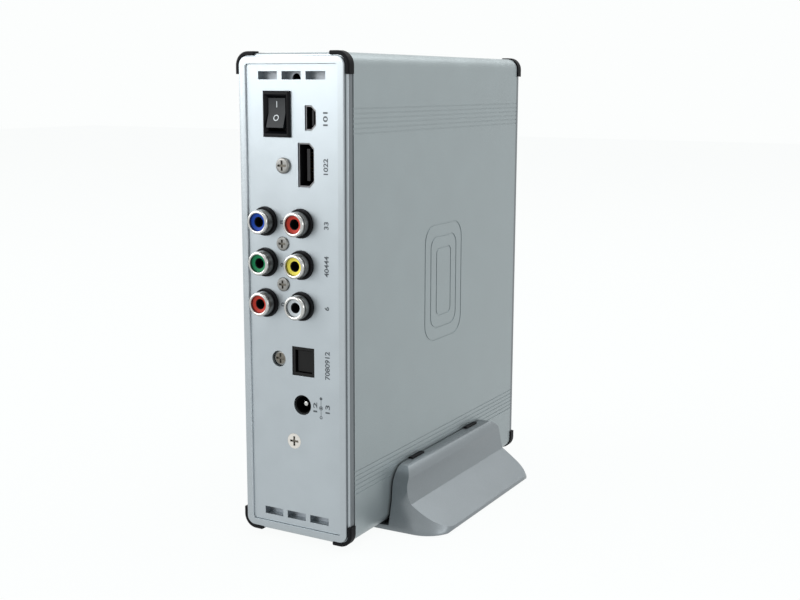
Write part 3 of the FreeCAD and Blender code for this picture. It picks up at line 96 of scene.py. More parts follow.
# Camera. It stands to the right of the connector end and a little above the middle of the case,
# close enough for the upright edges to fan out slightly.
camera_azimuth = math.radians(29.277)
camera_elevation = math.radians(10.261)
camera_roll = math.radians(-0.191)
camera_place_mm = Vector((225.8, -395.0, 158.4))
picture_width_px = 800
focal_length_px = 1196.4
camera_data = bpy.data.cameras.new("camera")
camera_data.sensor_width = 36.0
camera_data.lens = focal_length_px / picture_width_px * camera_data.sensor_width
camera_data.clip_start = 0.01
camera = bpy.data.objects.new("camera", camera_data)
bpy.context.scene.collection.objects.link(camera)
aim = Vector((-math.sin(camera_azimuth) * math.cos(camera_elevation),
              math.cos(camera_azimuth) * math.cos(camera_elevation),
              -math.sin(camera_elevation)))
level_turn = aim.to_track_quat("-Z", "Y")
camera.rotation_mode = "QUATERNION"
camera.rotation_quaternion = Matrix.Rotation(camera_roll, 3, aim).to_quaternion() @ level_turn
camera.location = camera_place_mm * MM
bpy.context.scene.camera = camera
bpy.context.scene.view_settings.view_transform = "Standard"

# Studio. A wide white table in a white room, a large soft box in front on the left, one above the
# player and a weak one on the right. Camera, metal and glass see table and room as plain white.
studio_white = (0.975, 0.99, 0.985, 1)
table_half = 3.0
table_shadow = 0.04
table_form = bmesh.new()
bmesh.ops.create_grid(table_form, x_segments=2, y_segments=2, size=table_half)
table_mesh = bpy.data.meshes.new("table_top")
table_form.to_mesh(table_mesh)
table_form.free()
table_top = bpy.data.objects.new("table_top", table_mesh)
bpy.context.scene.collection.objects.link(table_top)
table_top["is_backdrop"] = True


def show_white(tree, lit, white, share, target):
    """Mixes plain white into a lit surface for rays from the camera, metal and glass."""
    paths = tree.nodes.new("ShaderNodeLightPath")
    metal = tree.nodes.new("ShaderNodeMath")
    metal.operation = "MAXIMUM"
    glass = tree.nodes.new("ShaderNodeMath")
    glass.operation = "MAXIMUM"
    amount = tree.nodes.new("ShaderNodeMath")
    amount.operation = "MULTIPLY"
    amount.inputs[1].default_value = share
    blend = tree.nodes.new("ShaderNodeMixShader")
    tree.links.new(paths.outputs["Is Camera Ray"], metal.inputs[0])
    tree.links.new(paths.outputs["Is Glossy Ray"], metal.inputs[1])
    tree.links.new(metal.outputs[0], glass.inputs[0])
    tree.links.new(paths.outputs["Is Transmission Ray"], glass.inputs[1])
    tree.links.new(glass.outputs[0], amount.inputs[0])
    tree.links.new(amount.outputs[0], blend.inputs["Fac"])
    tree.links.new(lit.outputs[0], blend.inputs[1])
    tree.links.new(white.outputs[0], blend.inputs[2])
    tree.links.new(blend.outputs[0], target)


table_white = bpy.data.materials.new("table_white")
table_white.use_nodes = True
tree = table_white.node_tree
tree.nodes.clear()
matt = tree.nodes.new("ShaderNodeBsdfDiffuse")
matt.inputs["Color"].default_value = (0.75, 0.77, 0.78, 1)
glow = tree.nodes.new("ShaderNodeEmission")
glow.inputs["Color"].default_value = studio_white
out = tree.nodes.new("ShaderNodeOutputMaterial")
show_white(tree, matt, glow, 1 - table_shadow, out.inputs["Surface"])
table_top.data.materials.append(table_white)

room = bpy.data.worlds.new("white_room")
bpy.context.scene.world = room
room.use_nodes = True
tree = room.node_tree
tree.nodes.clear()
room_light = tree.nodes.new("ShaderNodeBackground")
room_light.inputs["Color"].default_value = (0.90, 0.96, 1.0, 1)
room_light.inputs["Strength"].default_value = 0.6
room_white = tree.nodes.new("ShaderNodeBackground")
room_white.inputs["Color"].default_value = studio_white
out = tree.nodes.new("ShaderNodeOutputWorld")
show_white(tree, room_light, room_white, 1.0, out.inputs["Surface"])


def soft_box(name, place, target, size, watts):
    """Rectangular lamp that faces a point of the player."""
    lamp = bpy.data.lights.new(name, "AREA")
    lamp.shape = "RECTANGLE"
    lamp.size, lamp.size_y = size
    lamp.energy = watts
    holder = bpy.data.objects.new(name, lamp)
    holder.location = place
    holder.rotation_mode = "QUATERNION"
    holder.rotation_quaternion = (Vector(target) - Vector(place)).to_track_quat("-Z", "Y")
    bpy.context.scene.collection.objects.link(holder)


soft_box("front_box", (-1.20, -1.10, 0.84), (0, -0.06, 0.14), (1.9, 1.45), 35.0)
soft_box("top_box", (0.35, 0.35, 1.20), (0, 0, 0.1), (1.3, 1.3), 15.0)
soft_box("right_box", (1.5, -0.2, 0.35), (0, 0, 0.1), (0.9, 0.5), 3.8)


# Tray. One steel sheet, zinc coated, bent up at both ends: its rear flange carries the sockets
# and shows through the vents, and its middle carries the board and the hard drive.
def finish(name, colour, roughness, metallic=0.0, grain_mm=0.4, shade=0.06, bump=0.1, painted_glint=0.0,
           stretch=(1, 1, 1), **sockets):
    """Material whose colour, sheen and relief wander with a fine grain and a soft cloud; painted_glint adds
    bright specks to the colour as painted glints.
    """
    material = bpy.data.materials.new(name)
    material.use_nodes = True
    nodes, links = material.node_tree.nodes, material.node_tree.links
    shader = nodes["Principled BSDF"]
    shader.inputs["Metallic"].default_value = metallic
    for socket, value in sockets.items():
        shader.inputs[socket.replace("_", " ")].default_value = value
    place = nodes.new("ShaderNodeTexCoord")
    brush = nodes.new("ShaderNodeMapping")
    brush.inputs["Scale"].default_value = stretch
    grain = nodes.new("ShaderNodeTexNoise")
    grain.inputs["Scale"].default_value = 1 / (grain_mm * MM)
    grain.inputs["Detail"].default_value = 3.0
    cloud = nodes.new("ShaderNodeTexNoise")
    cloud.inputs["Scale"].default_value = 1 / (40 * grain_mm * MM)
    links.new(place.outputs["Object"], brush.inputs["Vector"])
    links.new(brush.outputs["Vector"], grain.inputs["Vector"])
    links.new(place.outputs["Object"], cloud.inputs["Vector"])
    both = nodes.new("ShaderNodeMath")
    both.operation = "MULTIPLY_ADD"
    both.inputs[1].default_value = 0.3
    links.new(cloud.outputs["Fac"], both.inputs[0])
    links.new(grain.outputs["Fac"], both.inputs[2])
    tint = nodes.new("ShaderNodeValToRGB")
    tint.name = "tint"
    tint.color_ramp.elements[0].position = 0.45
    tint.color_ramp.elements[0].color = (*[c * (1 - shade) for c in colour], 1)
    tint.color_ramp.elements[1].position = 0.85
    tint.color_ramp.elements[1].color = (*[min(1, c * (1 + shade)) for c in colour], 1)
    # painted glints: the brightest grain gets a lighter colour that stands in for sparkle
    if painted_glint:
        painted_spark = tint.color_ramp.elements.new(0.93)
        painted_spark.color = (*[min(1, c * (1 + painted_glint)) for c in colour], 1)
    links.new(both.outputs[0], tint.inputs["Fac"])
    links.new(tint.outputs["Color"], shader.inputs["Base Color"])
    dull = nodes.new("ShaderNodeMapRange")
    dull.inputs["To Min"].default_value = roughness * 0.85
    dull.inputs["To Max"].default_value = min(1, roughness * 1.15)
    links.new(cloud.outputs["Fac"], dull.inputs["Value"])
    links.new(dull.outputs[0], shader.inputs["Roughness"])
    relief = nodes.new("ShaderNodeBump")
    relief.inputs["Strength"].default_value = bump
    relief.inputs["Distance"].default_value = grain_mm * MM * 0.3
    links.new(grain.outputs["Fac"], relief.inputs["Height"])
    links.new(relief.outputs[0], shader.inputs["Normal"])
    return material


def seat(name, form, materials, body, nodes=(), sharp_deg=30):
    """Turns a form in metres into a piece that rides a body, shaded smooth up to an angle, and
    that may stand for CAD nodes, whose own surface then gets the same finish."""
    for face in form.faces:
        face.smooth = True
    for edge in form.edges:
        if len(edge.link_faces) == 2:
            edge.smooth = edge.calc_face_angle(0) < math.radians(sharp_deg)
    mesh = bpy.data.meshes.new(name)
    form.to_mesh(mesh)
    form.free()
    for material in materials:
        mesh.materials.append(material)
    piece = bpy.data.objects.new(name, mesh)
    bpy.context.scene.collection.objects.link(piece)
    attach(piece, body)
    for node in nodes:
        bare = frame["nodes"][node]
        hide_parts(node)
        bare.data.materials.clear()
        bare.data.materials.append(materials[0])
    return piece


def dress(node, *materials, ease_mm=0.0, sharp_deg=30, rounds=2, second=None):
    """Stand-in for a CAD node: its welded copy, with eased edges. A test of a face's centre in mm
    and its normal picks which of the materials the face gets."""
    form = bmesh.new()
    form.from_mesh(frame["nodes"][node].data)
    bmesh.ops.remove_doubles(form, verts=form.verts, dist=0.001 * MM)
    bmesh.ops.dissolve_limit(form, angle_limit=math.radians(0.2), verts=form.verts, edges=form.edges)
    for face in form.faces:
        face.material_index = int(second(face.calc_center_median() / MM, face.normal)) if second else 0
    body = body_of(frame["nodes"][node])[0]
    piece = seat("dressed_" + node, form, materials, body, [node], sharp_deg)
    if ease_mm:
        ease = piece.modifiers.new("eased_edges", "BEVEL")
        ease.width = ease_mm * MM
        ease.segments = rounds
        ease.limit_method = "ANGLE"
        ease.angle_limit = math.radians(sharp_deg)
        ease.harden_normals = True
    return piece


zinc_steel = finish("zinc_steel", (0.27, 0.29, 0.31), 0.48, metallic=0.85, grain_mm=1.6, shade=0.10,
                    bump=0.04)
dress("tray_chassis", zinc_steel, ease_mm=0.12)


# Circuit boards. Green solder resist over copper tracks, with tinned holes. The main board stands
# on four pressed brass studs and is held by four pan-head screws.
def board_finish(name, mask, track):
    """Solder resist with tracks under it and tinned holes, on a board that stands in Y and Z."""
    material = finish(name, mask, 0.30, grain_mm=0.5, shade=0.10, bump=0.1, Coat_Weight=0.4,
                      Coat_Roughness=0.15)
    nodes, links = material.node_tree.nodes, material.node_tree.links
    shader = nodes["Principled BSDF"]
    place = nodes.new("ShaderNodeTexCoord")
    split = nodes.new("ShaderNodeSeparateXYZ")
    flat = nodes.new("ShaderNodeCombineXYZ")
    links.new(place.outputs["Object"], split.inputs[0])
    links.new(split.outputs["Y"], flat.inputs["X"])
    links.new(split.outputs["Z"], flat.inputs["Y"])
    tracks = nodes.new("ShaderNodeTexBrick")
    tracks.inputs["Scale"].default_value = 1 / (7 * MM)
    tracks.inputs["Mortar Size"].default_value = 0.035
    tracks.inputs["Mortar Smooth"].default_value = 0.2
    tracks.inputs["Brick Width"].default_value = 0.9
    tracks.inputs["Row Height"].default_value = 0.22
    links.new(flat.outputs[0], tracks.inputs["Vector"])
    under = nodes.new("ShaderNodeMix")
    under.data_type = "RGBA"
    under.inputs[7].default_value = (*track, 1)
    links.new(tracks.outputs["Fac"], under.inputs[0])
    links.new(nodes["tint"].outputs["Color"], under.inputs[6])
    holes = nodes.new("ShaderNodeTexVoronoi")
    holes.inputs["Scale"].default_value = 1 / (5 * MM)
    links.new(flat.outputs[0], holes.inputs["Vector"])
    tinned = nodes.new("ShaderNodeMath")
    tinned.operation = "LESS_THAN"
    tinned.inputs[1].default_value = 0.09
    links.new(holes.outputs["Distance"], tinned.inputs[0])
    top = nodes.new("ShaderNodeMix")
    top.data_type = "RGBA"
    top.inputs[7].default_value = (0.55, 0.56, 0.55, 1)
    links.new(tinned.outputs[0], top.inputs[0])
    links.new(under.outputs[2], top.inputs[6])
    links.new(top.outputs[2], shader.inputs["Base Color"])
    links.new(tinned.outputs[0], shader.inputs["Metallic"])
    return material


brass = finish("brass", (0.66, 0.47, 0.20), 0.28, metallic=1.0, grain_mm=0.3, shade=0.06, bump=0.05)
nickel = finish("nickel_screw", (0.22, 0.22, 0.21), 0.34, metallic=0.9, grain_mm=0.25, shade=0.14,
                bump=0.15)
# painted shade: a dark copy of the nickel for the faces of the cross recesses
recess_painted_shade = finish("recess_painted_shade", (0.13, 0.12, 0.10), 0.4, metallic=0.6, grain_mm=0.25, shade=0.2)
circuit_board = board_finish("circuit_board", (0.010, 0.115, 0.045), (0.03, 0.24, 0.09))
dress("board_standoffs", brass, ease_mm=0.1)
dress("main_board", circuit_board, ease_mm=0.1)
dress("board_screws", nickel, ease_mm=0.15)

# Chips. Moulded black packages, the decoder under a black anodised heatsink with seven fins, and
# four memory packages in a row in front of it.
chip_black = finish("chip_black", (0.017, 0.018, 0.019), 0.48, grain_mm=0.2, shade=0.15, bump=0.2)
heatsink_black = finish("black_heatsink", (0.022, 0.023, 0.025), 0.38, metallic=0.45, grain_mm=0.3,
                        shade=0.15, bump=0.15, stretch=(1, 1, 0.06))
dress("decoder_chip", chip_black, ease_mm=0.15)
dress("memory_chips", chip_black, ease_mm=0.12)
dress("chip_heatsink", heatsink_black, ease_mm=0.12)

# Power parts of the board. Five capacitors in dark blue shrink sleeves with bare aluminium tops,
# and two square coils in grey ferrite shells.
capacitor_blue = finish("capacitor_sleeve", (0.012, 0.022, 0.075), 0.28, grain_mm=0.5, shade=0.1, bump=0.05,
                        Coat_Weight=0.3)
can_aluminium = finish("can_aluminium", (0.60, 0.61, 0.62), 0.30, metallic=1.0, grain_mm=0.2, shade=0.05)
capacitor_top_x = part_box("power_capacitors")[1].x / MM
bare_top_depth = 0.3
dress("power_capacitors", capacitor_blue, can_aluminium, sharp_deg=40,
      second=lambda centre, normal: centre.x > capacitor_top_x - bare_top_depth and normal.x > 0.3)
dress("power_coils", chip_black, ease_mm=0.3)

# Receiver and lights. A black receiver block behind the window, and two clear light guides that
# stand on the board's front edge.
clear_pipe = finish("clear_pipe", (0.82, 0.88, 0.92), 0.22, grain_mm=0.4, shade=0.03, bump=0.1,
                    Transmission_Weight=0.6, IOR=1.49)
dress("infrared_receiver", chip_black, ease_mm=0.2)
dress("status_lights", clear_pipe, ease_mm=0.15)

# Rocker switch. A snap-in body with a bevelled frame and a rocker on a cross pin, both moulded in
# black, two plug-on blades and two soldered leads to the board. A bar and a ring are printed on it.
gloss_black = finish("gloss_black", (0.002, 0.002, 0.003), 0.40, grain_mm=0.25, shade=0.15, bump=0.12,
                     Specular_IOR_Level=0.12)
rocker_black = finish("rocker_black", (0.009, 0.011, 0.013), 0.36, grain_mm=0.25, shade=0.10, bump=0.15,
                      Specular_IOR_Level=0.18)
cable_grey = finish("cable_grey", (0.23, 0.24, 0.26), 0.45, grain_mm=0.4, shade=0.08, bump=0.1)
mark_grey = finish("mark_grey", (0.46, 0.49, 0.50), 0.5, grain_mm=0.2, shade=0.05)
dress("switch_housing", gloss_black, ease_mm=0.15)
dress("switch_rocker", rocker_black, ease_mm=0.25, rounds=3)
dress("switch_terminals", brass, ease_mm=0.08)
dress("switch_leads", cable_grey)
rocker_low, rocker_high = (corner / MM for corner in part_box("switch_rocker"))
rocker_middle_x = (rocker_low.x + rocker_high.x) / 2
flat_face_y = -65.75
rocker_dip_z = 148.58
lower_slope = math.radians(18)
print_lift = 0.03
print_lift_on_slope = 0.05
bar_width = 0.28
bar_length = 2.0
bar_rise = 2.9
ring_bore = 0.74
ring_radius = 1.06
ring_drop = 1.5
bar = bmesh.new()
bmesh.ops.create_grid(bar, x_segments=1, y_segments=1, size=0.5)
bmesh.ops.scale(bar, vec=(bar_width, bar_length, 1), verts=bar.verts)
bmesh.ops.rotate(bar, matrix=Matrix.Rotation(math.pi / 2, 3, "X"), verts=bar.verts)
bmesh.ops.translate(bar, vec=(rocker_middle_x, flat_face_y - print_lift, rocker_dip_z + bar_rise),
                    verts=bar.verts)
bmesh.ops.scale(bar, vec=(MM, MM, MM), verts=bar.verts)
ring = bmesh.new()
ring_inner = ring.verts.new((ring_bore, 0, 0))
ring_outer = ring.verts.new((ring_radius, 0, 0))
ring_edge = ring.edges.new((ring_inner, ring_outer))
bmesh.ops.spin(ring, geom=[ring_inner, ring_outer, ring_edge], axis=(0, 0, 1), cent=(0, 0, 0),
               angle=2 * math.pi, steps=40, use_merge=True)
bmesh.ops.recalc_face_normals(ring, faces=ring.faces)
if sum(face.normal.z for face in ring.faces) < 0:
    bmesh.ops.reverse_faces(ring, faces=ring.faces)
bmesh.ops.rotate(ring, matrix=Matrix.Rotation(math.pi / 2 - lower_slope, 3, "X"), verts=ring.verts)
bmesh.ops.translate(ring, vec=(rocker_middle_x,
                               flat_face_y - ring_drop * math.tan(lower_slope) - print_lift_on_slope,
                               rocker_dip_z - ring_drop), verts=ring.verts)
bmesh.ops.scale(ring, vec=(MM, MM, MM), verts=ring.verts)
for name, form in (("rocker_mark_bar", bar), ("rocker_mark_ring", ring)):
    seat(name, form, [mark_grey], "rocker")

# Flat ports. Folded shells in dark nickel, painted shade inside behind a thin lip, with a black
# contact tongue each, the tongue's gilt contacts lie side by side along the port.
port_nickel = finish("port_shell", (0.16, 0.16, 0.165), 0.30, metallic=1.0, grain_mm=0.4, shade=0.10,
                     bump=0.05)
black_plastic = finish("black_plastic", (0.005, 0.005, 0.006), 0.38, grain_mm=0.25, shade=0.15, bump=0.15,
                       Specular_IOR_Level=0.25)
gilt = finish("gilt", (0.80, 0.55, 0.20), 0.25, metallic=1.0, grain_mm=0.2, shade=0.05)
# painted shade: near black for the shell faces behind the lip, inside the port
port_painted_shade = finish("port_painted_shade", (0.006, 0.006, 0.007), 0.5, grain_mm=0.3, shade=0.15,
                   Specular_IOR_Level=0.15)
bright_lip = 0.3
strip_thickness = 0.06
strip_length = 3.2
strip_inset = 2.2
for port, count, pitch, width, blade_half in (("video_port", 9, 1.0, 0.45, 0.65),
                                              ("data_port", 5, 0.8, 0.35, 0.45)):
    low, high = (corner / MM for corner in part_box(port + "_shell"))
    middle_z = (low.z + high.z) / 2
    mouth = low.y
    dress(port + "_shell", port_nickel, port_painted_shade, ease_mm=0.06,
          second=lambda centre, normal, mouth=mouth: centre.y > mouth + bright_lip)
    dress(port + "_tongue", black_plastic, ease_mm=0.1)
    tongue_low, tongue_high = (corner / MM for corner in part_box(port + "_tongue"))
    blade_x = (tongue_low.x + tongue_high.x) / 2 + blade_half
    strips = bmesh.new()
    for i in range(count):
        strip = bmesh.ops.create_cube(strips, size=1.0)["verts"]
        strip_z = middle_z + (i - (count - 1) / 2) * pitch
        bmesh.ops.scale(strips, vec=(strip_thickness, strip_length, width), verts=strip)
        bmesh.ops.translate(strips, vec=(blade_x, tongue_low.y + strip_inset, strip_z), verts=strip)
    bmesh.ops.scale(strips, vec=(MM, MM, MM), verts=strips.verts)
    seat(port + "_contacts", strips, [gilt], "tray")


# Round jacks. Six turned and nickel plated shells with a beaded mouth and a groove behind it, each
# held by a raised black ring of the common block and lined with a coloured insert.
def turned(form, profile, x, z):
    """Turns a closed profile of (radius, y) points in mm about a line along Y through x and z."""
    points = [form.verts.new((x + radius, y, z)) for radius, y in profile]
    edges = [form.edges.new(pair) for pair in zip(points, points[1:] + points[:1])]
    bmesh.ops.spin(form, geom=points + edges, axis=(0, 1, 0), cent=(x, 0, z), angle=2 * math.pi,
                   steps=72, use_merge=True)


def close_up(form):
    """Merges what spinning doubled, turns the faces outwards and brings mm to metres."""
    bmesh.ops.remove_doubles(form, verts=form.verts, dist=0.0005)
    bmesh.ops.recalc_face_normals(form, faces=form.faces)
    bmesh.ops.scale(form, vec=(MM, MM, MM), verts=form.verts)


shell_low, shell_high = (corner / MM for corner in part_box("jack_shells"))
shell_radius = 4.15
shell_bore = 3.05
jack_pitch = 14.0
jack_columns = (shell_low.x + shell_radius, shell_high.x - shell_radius)
jack_rows = [shell_high.z - shell_radius - row * jack_pitch for row in range(3)]
jack_places = [(x, z) for z in jack_rows for x in jack_columns]
mouth = shell_low.y
back = shell_high.y
neck_y = -66.85
neck_radius = 3.95
groove_radius = 3.60
groove_start = 1.22
groove_end = 1.68
barrel_radius = 4.10
lip = [(shell_bore, mouth + 0.45), (shell_bore + 0.08, mouth + 0.14), (shell_bore + 0.26, mouth + 0.02)]
bead = [(3.50, mouth), (3.78, mouth + 0.10), (3.98, mouth + 0.30), (4.11, mouth + 0.55),
        (shell_radius, mouth + 0.82), (4.12, mouth + 1.08), (3.98, mouth + 1.26)]
groove = [(groove_radius, mouth + 1.36), (groove_radius, mouth + 1.56)]
barrel = [(4.00, mouth + 1.70), (barrel_radius, mouth + 1.88), (barrel_radius, neck_y),
          (neck_radius, neck_y), (neck_radius, back), (shell_bore, back)]
shells = bmesh.new()
for x, z in jack_places:
    turned(shells, lip + bead + groove + barrel, x, z)
close_up(shells)
# painted shade and reflection: one nickel plating in three tones, bright on the bead, darker on the barrel,
# darkest in the groove
bright_nickel = finish("bright_nickel", (0.50, 0.50, 0.485), 0.20, metallic=1.0, grain_mm=0.4, shade=0.06,
                       bump=0.06)
satin_nickel_painted_shade = finish("satin_nickel_painted_shade", (0.22, 0.22, 0.215), 0.30, metallic=1.0, grain_mm=0.3, shade=0.10,
                      bump=0.08)
groove_painted_shade = finish("groove_painted_shade", (0.10, 0.09, 0.08), 0.35, metallic=1.0, grain_mm=0.3, shade=0.15)
for face in shells.faces:
    depth = face.calc_center_median().y / MM - mouth
    if groove_start < depth < groove_end:
        face.material_index = 2
    elif depth > groove_end:
        face.material_index = 1
seat("turned_jack_shells", shells, [bright_nickel, satin_nickel_painted_shade, groove_painted_shade], "tray", ["jack_shells"],
     sharp_deg=35)
jack_black = finish("jack_black", (0.003, 0.003, 0.004), 0.45, grain_mm=0.3, shade=0.1, bump=0.06,
                    Specular_IOR_Level=0.12)
dress("jack_block", jack_black, ease_mm=0.2, rounds=3)
insert_low, insert_high = (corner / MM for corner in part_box("jack_insert_blue"))
insert_radius = 3.0
insert_bore = 1.625
insert_chamfer = 0.2
insert_front = insert_low.y - 0.2
insert_profile = [(insert_radius, insert_front), (insert_bore + insert_chamfer, insert_front + 0.24),
                  (insert_bore, insert_front + 0.45), (insert_bore, insert_high.y),
                  (insert_radius, insert_high.y)]
insert_colours = {"blue": (0.005, 0.044, 0.29), "red": (0.40, 0.030, 0.016),
                  "green": (0.004, 0.165, 0.060), "yellow": (0.68, 0.58, 0.075),
                  "white": (0.44, 0.47, 0.48)}
insert_nodes = {"blue": ("jack_insert_blue", [0]), "red": ("jack_inserts_red", [1, 4]),
                "green": ("jack_insert_green", [2]), "yellow": ("jack_insert_yellow", [3]),
                "white": ("jack_insert_white", [5])}
# painted shade: the bore and chamfer of each coloured insert are painted near black
bore_painted_shade = finish("bore_painted_shade", (0.006, 0.006, 0.006), 0.6, grain_mm=0.3, shade=0.15,
                    Specular_IOR_Level=0.1)
for colour, (node, spots) in insert_nodes.items():
    moulded = finish("insert_" + colour, insert_colours[colour], 0.45, grain_mm=0.4, shade=0.05, bump=0.04,
                     Specular_IOR_Level=0.15)
    lining = bmesh.new()
    for spot in spots:
        turned(lining, insert_profile, *jack_places[spot])
    close_up(lining)
    for face in lining.faces:
        centre = face.calc_center_median() / MM
        from_axis = min(math.hypot(centre.x - jack_places[spot][0], centre.z - jack_places[spot][1])
                        for spot in spots)
        face.material_index = 1 if from_axis < insert_bore + insert_chamfer else 0
    seat("turned_insert_" + colour, lining, [moulded, bore_painted_shade], "tray", [node], sharp_deg=35)
contact_dark = finish("contact_dark", (0.02, 0.018, 0.015), 0.45, metallic=0.6, grain_mm=0.3, shade=0.15)
dress("jack_contacts", contact_dark)

# Optical port. A black housing with a square cavity and a light guide at its back, closed by a
# thin shutter on two small pins.
optical_black = finish("optical_black", (0.003, 0.003, 0.003), 0.36, grain_mm=0.25, shade=0.15, bump=0.1,
                       Specular_IOR_Level=0.18)
dress("optical_housing", optical_black, ease_mm=0.12)
dress("optical_shutter", optical_black, ease_mm=0.12)

# Power jack. A black moulded body with a round bore stands behind the panel, and in its middle is
# a bright plated pin with a domed tip.
dress("power_jack_body", optical_black, ease_mm=0.15)
dress("power_jack_pin", bright_nickel)

# Hard drive. A cast aluminium base under a pressed steel cover with six screws, and in it one
# mirror disc on its hub, the arm with its coil between two plated magnets, and the drive's board.
cast_aluminium = finish("cast_aluminium", (0.34, 0.35, 0.36), 0.46, metallic=0.8, grain_mm=0.6, shade=0.12,
                        bump=0.35)
cover_steel = finish("cover_steel", (0.52, 0.53, 0.54), 0.32, metallic=0.95, grain_mm=0.25, shade=0.08,
                     bump=0.08, stretch=(1, 1, 0.05))
mirror = finish("mirror_disc", (0.72, 0.72, 0.74), 0.06, metallic=1.0, grain_mm=0.8, shade=0.02, bump=0.01)
dress("drive_base", cast_aluminium, ease_mm=0.35)
dress("drive_cover", cover_steel, ease_mm=0.25)
dress("drive_cover_screws", nickel, ease_mm=0.1)
dress("drive_screws", nickel, ease_mm=0.15)
dress("drive_platter", mirror, ease_mm=0.1)
dress("drive_head_arm", cast_aluminium, ease_mm=0.12)
dress("drive_magnets", bright_nickel, ease_mm=0.2)
chip_side_x = 4.75
dress("drive_board", circuit_board, chip_black, ease_mm=0.08,
      second=lambda centre, normal: centre.x < chip_side_x)
dress("drive_connector", black_plastic, ease_mm=0.15)

# Drive lead. A flat grey cable from a plug on the drive through a slot of the tray to a pale
# socket on the board.
pale_plastic = finish("pale_plastic", (0.68, 0.64, 0.52), 0.40, grain_mm=0.3, shade=0.04, bump=0.08)
dress("drive_socket", pale_plastic, ease_mm=0.12)
plug_foot_z = 9.0
plug_side_x = 4.0
dress("drive_cable", cable_grey, black_plastic, ease_mm=0.08,
      second=lambda centre, normal: centre.z > plug_foot_z and centre.x < plug_side_x)

# Connector panel. A plate with a satin silver coat over a fine grain, cut out for the sockets, the
# vents and the screws, and held to the tray's flange by five cross-head screws.
panel_silver = finish("silver_panel", (0.385, 0.425, 0.450), 0.33, metallic=0.85, grain_mm=0.22, shade=0.04,
                      bump=0.14)
dress("rear_panel", panel_silver, ease_mm=0.08)
panel_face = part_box("rear_panel")[0].y / MM
high_screw = (-3.4, 131.4)
jack_screws = ((-4.1, 105.2), (-4.1, 91.3))
sunk_screw = (-6.5, 65.2)
flat_screw = (-0.6, 36.7)
head_rise = 1.2
jack_head_rise = 0.7
sunk_depth = 0.9
cross_reach = 1.75
cross_start = 0.28


def in_cross(centre, spot, front):
    """True for a face of the cross recess in a head at a spot, whose top stands at front."""
    apart = math.hypot(centre.x - spot[0], centre.z - spot[1])
    return apart < cross_reach and centre.y > front + cross_start


def in_any_cross(centre, normal):
    """True for a face of a cross recess in any of the four pan heads."""
    fronts = [(spot, panel_face - jack_head_rise) for spot in jack_screws]
    fronts.append((high_screw, panel_face - head_rise))
    fronts.append((sunk_screw, panel_face - head_rise + sunk_depth))
    return any(in_cross(centre, spot, front) for spot, front in fronts)


# the cross recesses of the pan heads and of the flat screw get painted shade
dress("panel_screws", nickel, recess_painted_shade, sharp_deg=35, second=in_any_cross)
flat_nickel = finish("flat_nickel", (0.60, 0.58, 0.54), 0.34, metallic=0.85, grain_mm=0.25, shade=0.08,
                     bump=0.1)
dress("panel_flat_screw", flat_nickel, recess_painted_shade, sharp_deg=35,
      second=lambda centre, normal: in_cross(centre, flat_screw, panel_face))

# Printing on the panel. Plain numbers in dark grey ink beside the sockets, read from below, and
# the polarity sign of the power jack: a dot, a ring with a dot and a ring on one line.
ink = finish("ink", (0.045, 0.055, 0.062), 0.5, grain_mm=0.15, shade=0.2)
ink_lift = 0.025
label_column = (12.3, 14.1)
wide_label_column = (12.3, 14.2)
voltage_column = (7.4, 9.0)
jack_column = (-5.3, -3.7)
printed_numbers = (("101", (144.7, 149.2), label_column), ("1022", (128.9, 134.2), label_column),
                   ("33", (110.9, 113.5), label_column), ("40444", (95.1, 102.1), label_column),
                   ("6", (83.8, 85.1), label_column), ("7080912", (60.1, 69.8), wide_label_column),
                   ("13", (48.3, 51.3), label_column), ("12", (48.2, 51.7), voltage_column),
                   ("8", (111.7, 113.1), jack_column), ("9", (97.2, 98.6), jack_column),
                   ("0", (83.6, 85.0), jack_column))
stroke_gain = 0.025
for words, (low_z, high_z), (left_x, right_x) in printed_numbers:
    curve = bpy.data.curves.new("number", "FONT")
    curve.body = words
    curve.offset = stroke_gain
    flat_text = bpy.data.objects.new("number", curve)
    bpy.context.scene.collection.objects.link(flat_text)
    bpy.context.view_layer.update()
    letters = bmesh.new()
    letters.from_mesh(bpy.data.meshes.new_from_object(flat_text))
    bpy.data.objects.remove(flat_text)
    low = Vector([min(vert.co[i] for vert in letters.verts) for i in range(3)])
    high = Vector([max(vert.co[i] for vert in letters.verts) for i in range(3)])
    bmesh.ops.translate(letters, vec=-(low + high) / 2, verts=letters.verts)
    stretch_along = (high_z - low_z) / (high.x - low.x)
    stretch_across = (right_x - left_x) / (high.y - low.y)
    bmesh.ops.scale(letters, vec=(stretch_along, stretch_across, 1), verts=letters.verts)
    read_upwards = Matrix(((0, -1, 0), (0, 0, -1), (1, 0, 0)))
    bmesh.ops.rotate(letters, matrix=read_upwards, verts=letters.verts)
    middle = ((left_x + right_x) / 2, panel_face - ink_lift, (low_z + high_z) / 2)
    bmesh.ops.translate(letters, vec=middle, verts=letters.verts)
    bmesh.ops.scale(letters, vec=(MM, MM, MM), verts=letters.verts)
    seat("number_" + words, letters, [ink], "tray")
sign = bmesh.new()
sign_x = 10.55
sign_line = 0.18
for z, inner, outer in ((53.2, 0.0, 0.55), (49.9, 0.0, 0.40), (49.9, 0.52, 0.74), (46.6, 0.30, 0.55)):
    start = sign.verts.new((sign_x + inner, panel_face - ink_lift, z))
    end = sign.verts.new((sign_x + outer, panel_face - ink_lift, z))
    line = sign.edges.new((start, end))
    bmesh.ops.spin(sign, geom=[start, end, line], axis=(0, 1, 0), cent=(sign_x, 0, z), angle=2 * math.pi,
                   steps=32, use_merge=True)
